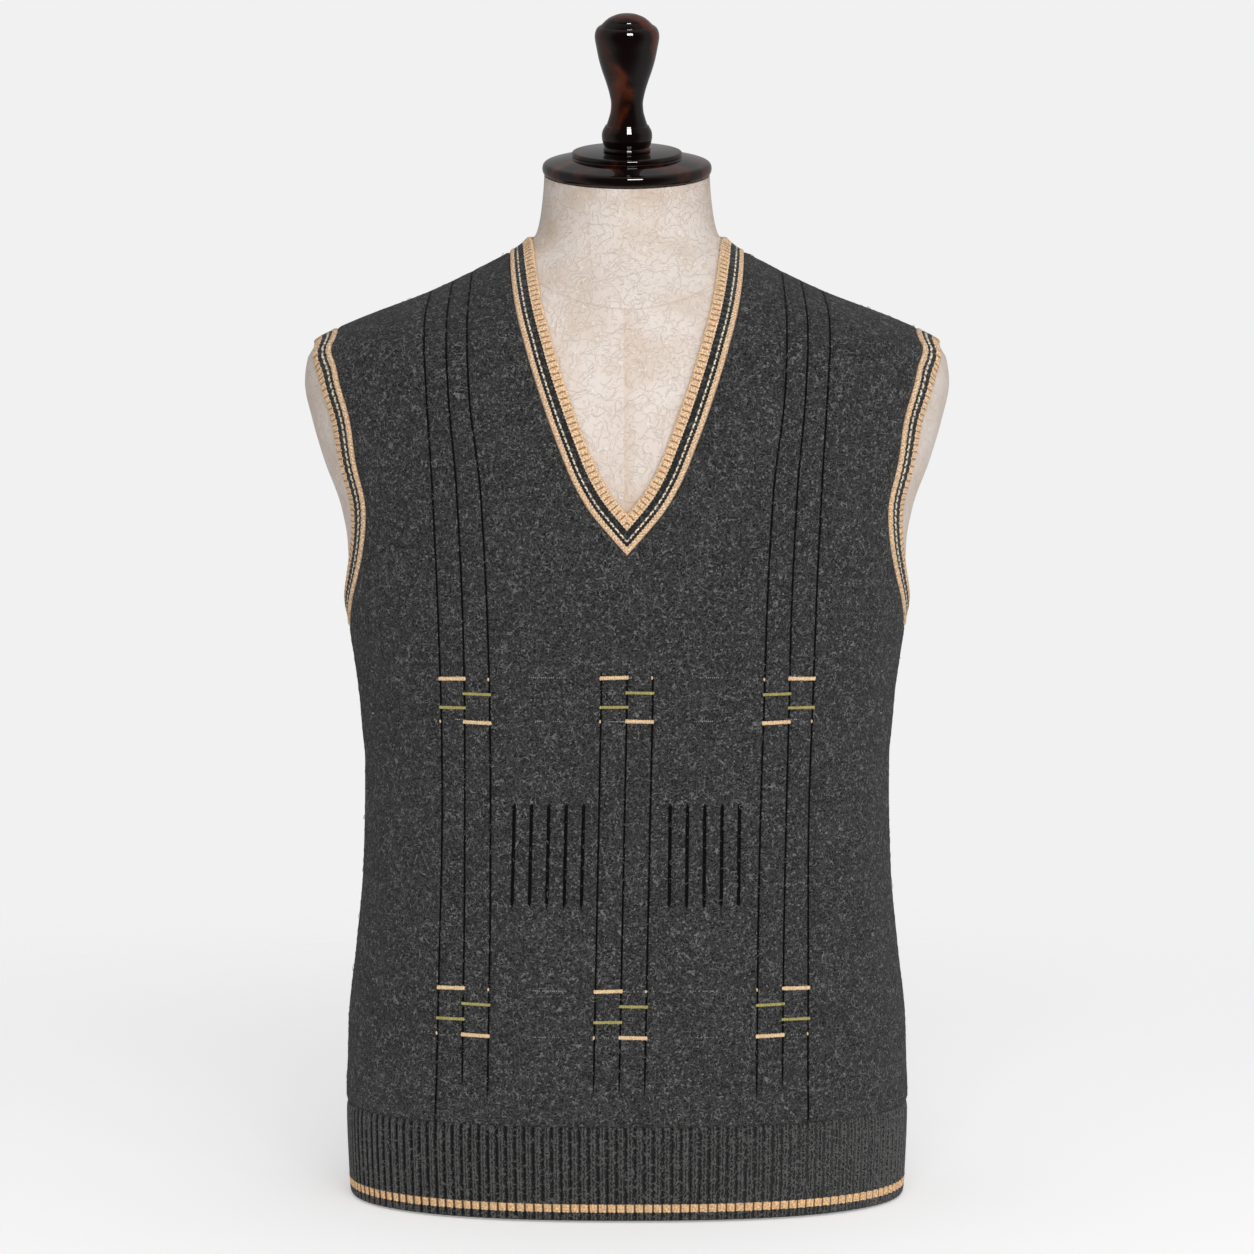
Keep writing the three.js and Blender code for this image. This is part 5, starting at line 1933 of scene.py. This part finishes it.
CAP_RUNS = (
    ((0, 0), (53.4, 0)),
    ((53.4, 0), (55.4, 0.5), (56.6, 1.9), (57, 4.1), (56.6, 6.2), (55.4, 7.6), (53.6, 8.3)),
    ((53.6, 8.3), (46, 10.1), (39, 11.5)),
    ((39, 11.5), (38.2, 11.5), (37.4, 11.8), (37.0, 12.4), (37.3, 13.4), (37.1, 14.5), (36.3, 15.3), (35.2, 15.6)),
    ((35.2, 15.6), (0, 15.6)),
)
FINIAL_RUNS = (
    ((0, 0), (15.6, 0)),
    ((15.6, 0), (16.1, 0.5), (16.1, 1.4), (15.5, 2.4)),
    ((15.5, 2.4), (15.1, 2.8), (15.5, 3.4)),
    ((15.5, 3.4), (16.2, 5.4), (16.8, 8), (16.95, 10), (16.8, 12), (16.1, 14.2), (15.2, 15.8), (14.6, 17)),
    ((14.6, 17), (13.7, 17.4), (13.6, 17.8)),
    ((13.6, 17.8), (12.2, 22.1), (11, 27), (10.7, 31.6), (11.7, 37.9), (14, 46), (17, 54.8),
     (19, 62), (20.5, 69.6), (21.4, 74.5), (21.6, 76.8), (21.4, 79), (20.6, 81.4), (19.4, 83.1), (18.3, 83.8)),
    ((18.3, 83.8), (17.8, 83.3)),
    ((17.8, 83.3), (17.3, 84.4)),
    ((17.3, 84.4), (14.4, 87.3)),
    ((14.4, 87.3), (13.9, 86.9)),
    ((13.9, 86.9), (13.5, 88)),
    ((13.5, 88), (12.2, 89), (9.4, 90.4), (5, 91.8), (0, 92.3)),
)


@dataclass
class Vest:
    """The knitted vest: its panels, ribs, bands and yarn work."""

    figure: Figure
    seams: Seams
    lines: FrontLines
    yarns: Yarns = field(default_factory=Yarns)
    band_width: float = 18.0
    hem_pitch: float = 6.07

    def finishes(self) -> dict[str, bpy.types.Material]:
        """Make the vest's materials.

        Returns:
            The materials by name.
        """
        y = self.yarns
        neck_stripes = ((0, y.tan), (3.8, y.charcoal), (6.0, y.cream), (7.1, y.charcoal), (11.2, y.tan))
        arm_stripes = ((0, y.tan), (3.8, y.charcoal), (6.2, y.cream), (8.0, y.charcoal), (11.6, y.tan))
        hem_stripes = ((0, y.charcoal), (7.4, y.bright_tan), (12.7, y.charcoal))
        # The span across the neck and armhole bands where the furrows between the ribs get painted shade.
        rib_shade_span = (11.4, self.band_width - 0.6)
        return {
            "jersey": LambswoolJersey().make(),
            "neck": StripedRibbing(
                "striped_ribbing_neck", neck_stripes, self.band_width, 4.4, rib_shade_span, dashes=(6.0, 7.1)
            ).make(),
            "arm": StripedRibbing(
                "striped_ribbing_armhole", arm_stripes, self.band_width, 4.7, rib_shade_span, dashes=(6.2, 8.0)
            ).make(),
            # The hem gets painted shade in its furrows all across, in a dark grey.
            "hem": StripedRibbing(
                "striped_ribbing_hem", hem_stripes, 64.0, self.hem_pitch, furrow=0.8,
                furrow_shade_tint="#5E5B56", chain=0.36, zigzag=0.55, zigzag_pitch=self.hem_pitch / 2,
            ).make(),
            "peach": PlainYarn("yarn_peach_two_ply", "#F4D7B0", "#C8A579").make(),
            "olive": PlainYarn("yarn_olive_two_ply", "#B8AD6D", "#8A8248").make(),
            "grey": PlainYarn("yarn_grey_flecks", "#B2B2B2", "#5A5A5A").make(),
            "fibre": PlainYarn("wool_fibre_pale", "#7C7C7B", "#3A3A3A", 14.0).make(),
        }

    def build(self) -> dict[str, bpy.types.Object]:
        """Build every piece of the vest.

        Returns:
            The pieces by name.
        """
        finish = self.finishes()
        pieces: dict[str, bpy.types.Object] = {}
        for side, creases in ((Side.FRONT, FRONT_CREASES), (Side.BACK, BACK_CREASES)):
            word = side.name.lower()
            panel = BodyPanel(self.figure, self.seams, self.lines, side, creases)
            body = panel.build(f"{word}_panel_jersey")
            repair(body)
            body.data.materials.append(finish["jersey"])
            pieces[f"{word}_panel"] = body
            rib = HemRib(self.figure).build(f"{word}_hem_ribbing", side, finish["hem"])
            pieces[f"{word}_hem_rib"] = rib
        neck = NeckBand(self.figure, seams=self.seams)
        pieces["neck_band"] = neck.build("neck_band_ribbing", finish["neck"])
        for hand in Hand:
            word = hand.name.lower()
            arm = ArmholeBand(self.figure, seams=self.seams)
            name = f"armhole_band_{word}"
            pieces[name] = arm.build(f"{name}_ribbing", hand, finish["arm"])
        for piece in YarnWork(self.figure, self.lines).build(finish):
            pieces[piece.name] = piece
        for number, word in enumerate(("front", "back")):
            pieces[f"fibres_{word}"] = self.fibres(pieces[f"{word}_panel"], number, finish["fibre"])
        return pieces

    def fibres(
        self, cloth: bpy.types.Object, seed: int, material: bpy.types.Material
    ) -> bpy.types.Object:
        """Scatter loose fibres over a panel.

        Args:
            cloth: The panel.
            seed: The seed of the scatter.
            material: The fibres' finish.

        Returns:
            The object.
        """
        name = "loose_fibres_front" if seed == 0 else "loose_fibres_back"
        piece = bpy.data.objects.new(name, cloth.data.copy())
        bpy.context.scene.collection.objects.link(piece)
        sizes = {"Spacing": 6.2, "Thickness": 0.3, "Seed": seed}
        return grow(piece, fibres_tree(), Material=material, **sizes)


@dataclass(frozen=True)
class Cut:
    """The size that a cloth piece was made to, in millimetres and square millimetres."""

    width: float
    length: float
    area: float
    held: str = "draped"

    def declare(self, piece: bpy.types.Object, rests_on: str, trims: Sequence[bpy.types.Object]) -> None:
        """Do nothing with the piece: no sheet of cloth is declared."""


CUTS = {
    "front_panel": Cut(600, 650, 252000),
    "back_panel": Cut(600, 660, 275000),
    "front_hem_rib": Cut(500, 60, 29000, "stretched"),
    "back_hem_rib": Cut(500, 60, 29000, "stretched"),
    "neck_band": Cut(640, 18, 11000, "stretched"),
    "armhole_band_left": Cut(500, 18, 8800, "stretched"),
    "armhole_band_right": Cut(500, 18, 8800, "stretched"),
}


@dataclass
class Studio:
    """A pale floor, soft light and the camera."""

    target: tuple[float, float, float] = (0.0, 0.0, 0.386)
    distance: float = 3.0
    elevation: float = math.radians(4)
    lens: float = 126.6
    floor_radius: float = 6.0
    backdrop: str = "#F1F1F1"
    ambient: float = 0.5
    ambient_slope: float = 0.1
    mirrored: float = 0.34
    floor_glow: float = 0.3

    def build(self) -> None:
        """Set up the camera, the light and the floor."""
        self.camera()
        self.world()
        self.softbox("key", (0.2, -3.4, 2.1), (2.0, 1.6), 56).visible_glossy = False
        self.softbox("fill", (1.8, -3.0, 1.2), (1.6, 1.6), 20).visible_glossy = False
        for number in range(3):
            height = 1.96 + 0.36 * number
            window = self.softbox(f"window_{number}", (0.5, -2.6, height), (0.95, 0.3), 30)
            window.visible_diffuse = False
        self.floor()

    def camera(self) -> None:
        """Place the camera in front, a little above the object's middle."""
        data = bpy.data.cameras.new("camera")
        data.lens = self.lens
        data.sensor_width = 36
        camera = bpy.data.objects.new("camera", data)
        bpy.context.scene.collection.objects.link(camera)
        back = Vector((0, -math.cos(self.elevation), math.sin(self.elevation)))
        camera.location = Vector(self.target) + back * self.distance
        camera.rotation_euler = (-back).to_track_quat("-Z", "Y").to_euler()
        bpy.context.scene.camera = camera

    def world(self) -> None:
        """Give the room an even light, dimmer than the backdrop that the camera sees."""
        world = bpy.data.worlds.new("studio")
        world.use_nodes = True
        tree = world.node_tree
        tree.nodes.clear()
        path = add(tree, "ShaderNodeLightPath").node
        way = add(tree, "ShaderNodeTexCoord", out="Generated")
        parts = add(tree, "ShaderNodeSeparateXYZ", {0: way}).node
        even = reckon(tree, "MULTIPLY_ADD", parts.outputs[0], self.ambient_slope, self.ambient)
        mirrored = ranged(tree, parts.outputs[1], (-0.8, -0.15), (0.03, self.mirrored))
        light = blend(tree, path.outputs["Is Glossy Ray"], even, mirrored)
        mixed = blend(tree, path.outputs["Is Camera Ray"], light, linear(self.backdrop))
        shade = add(tree, "ShaderNodeBackground", {"Color": mixed, "Strength": 1.0})
        add(tree, "ShaderNodeOutputWorld", {"Surface": shade})
        bpy.context.scene.world = world
        bpy.context.scene.view_settings.view_transform = "Standard"

    def softbox(
        self,
        name: str,
        place: tuple[float, float, float],
        size: tuple[float, float],
        power: float,
    ) -> bpy.types.Object:
        """Hang one soft light that faces the object.

        Args:
            name: The light's name.
            place: Where it hangs, in metres.
            size: Its width and height, in metres.
            power: Its power in watts.

        Returns:
            The light's object.
        """
        data = bpy.data.lights.new(name, "AREA")
        data.shape = "RECTANGLE"
        data.size, data.size_y = size
        data.energy = power
        lamp = bpy.data.objects.new(name, data)
        bpy.context.scene.collection.objects.link(lamp)
        lamp.location = place
        way = Vector(self.target) - Vector(place)
        lamp.rotation_euler = way.to_track_quat("-Z", "Y").to_euler()
        return lamp

    def floor(self) -> None:
        """Lay a round pale floor that fades into the backdrop."""
        angle = np.linspace(0, 4 * QUARTER, 96, endpoint=False)
        ring = np.stack([np.cos(angle), np.sin(angle), 0 * angle], axis=-1) * self.floor_radius / MM
        floor = make_object("floor", ring - [0, 0, 0.2], [tuple(range(96))])
        material, tree = new_material("floor_matte_white")
        place = add(tree, "ShaderNodeTexCoord", out="Object")
        off = add(tree, "ShaderNodeVectorMath", {0: place}, out="Value", operation="LENGTH")
        fade = {"Value": off, "From Min": 0.45, "From Max": 1.6}
        share = add(tree, "ShaderNodeMapRange", fade, interpolation_type="SMOOTHSTEP")
        paint = {"Base Color": linear("#F4F4F4"), "Roughness": 0.9, "Specular IOR Level": 0.1}
        paint.update({"Emission Color": (1.0, 1.0, 1.0, 1.0), "Emission Strength": self.floor_glow})
        matte = add(tree, "ShaderNodeBsdfPrincipled", paint)
        clear = add(tree, "ShaderNodeBsdfTransparent")
        mixed = add(tree, "ShaderNodeMixShader", {0: share, 1: matte, 2: clear})
        add(tree, "ShaderNodeOutputMaterial", {"Surface": mixed})
        floor.data.materials.append(material)
        floor.visible_glossy = False


def report(piece: bpy.types.Object) -> None:
    """Log a piece's name and how many triangles it has."""
    piece.data.calc_loop_triangles()
    log.info("%s: %d triangles", piece.name, len(piece.data.loop_triangles))


def main() -> None:
    """Build the vest, the form and the studio, and attach each piece to the root body."""
    logging.basicConfig(level=logging.INFO, format="%(name)s: %(message)s")
    figure = Figure()
    vest = Vest(figure, Seams(figure), FrontLines())
    pieces = vest.build()
    pieces["form_torso"] = TorsoForm(figure).build("form_papier_mache", GessoedPaper().make())
    lacquer = TortoiseLacquer().make()
    pieces["neck_cap"] = Turning(CAP_RUNS, SEAM_GAP).build("neck_cap_turning", lacquer)
    pieces["finial"] = Turning(FINIAL_RUNS, 15.6 + 2 * SEAM_GAP, 96).build("finial_turning", lacquer)
    for name, piece in pieces.items():
        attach(piece, "root")
        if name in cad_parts:
            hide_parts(name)
        report(piece)
    trims = [pieces[name] for name in pieces if name.startswith(("yarn_", "row_")) or name == "fibres_front"]
    backing = [pieces["fibres_back"]] if "fibres_back" in pieces else []
    on_panel = {"front_panel": trims, "back_panel": backing}
    for name, cut in CUTS.items():
        cut.declare(pieces[name], pieces["form_torso"].name, on_panel.get(name, []))
    Studio().build()


if __name__ == "__main__":
    main()
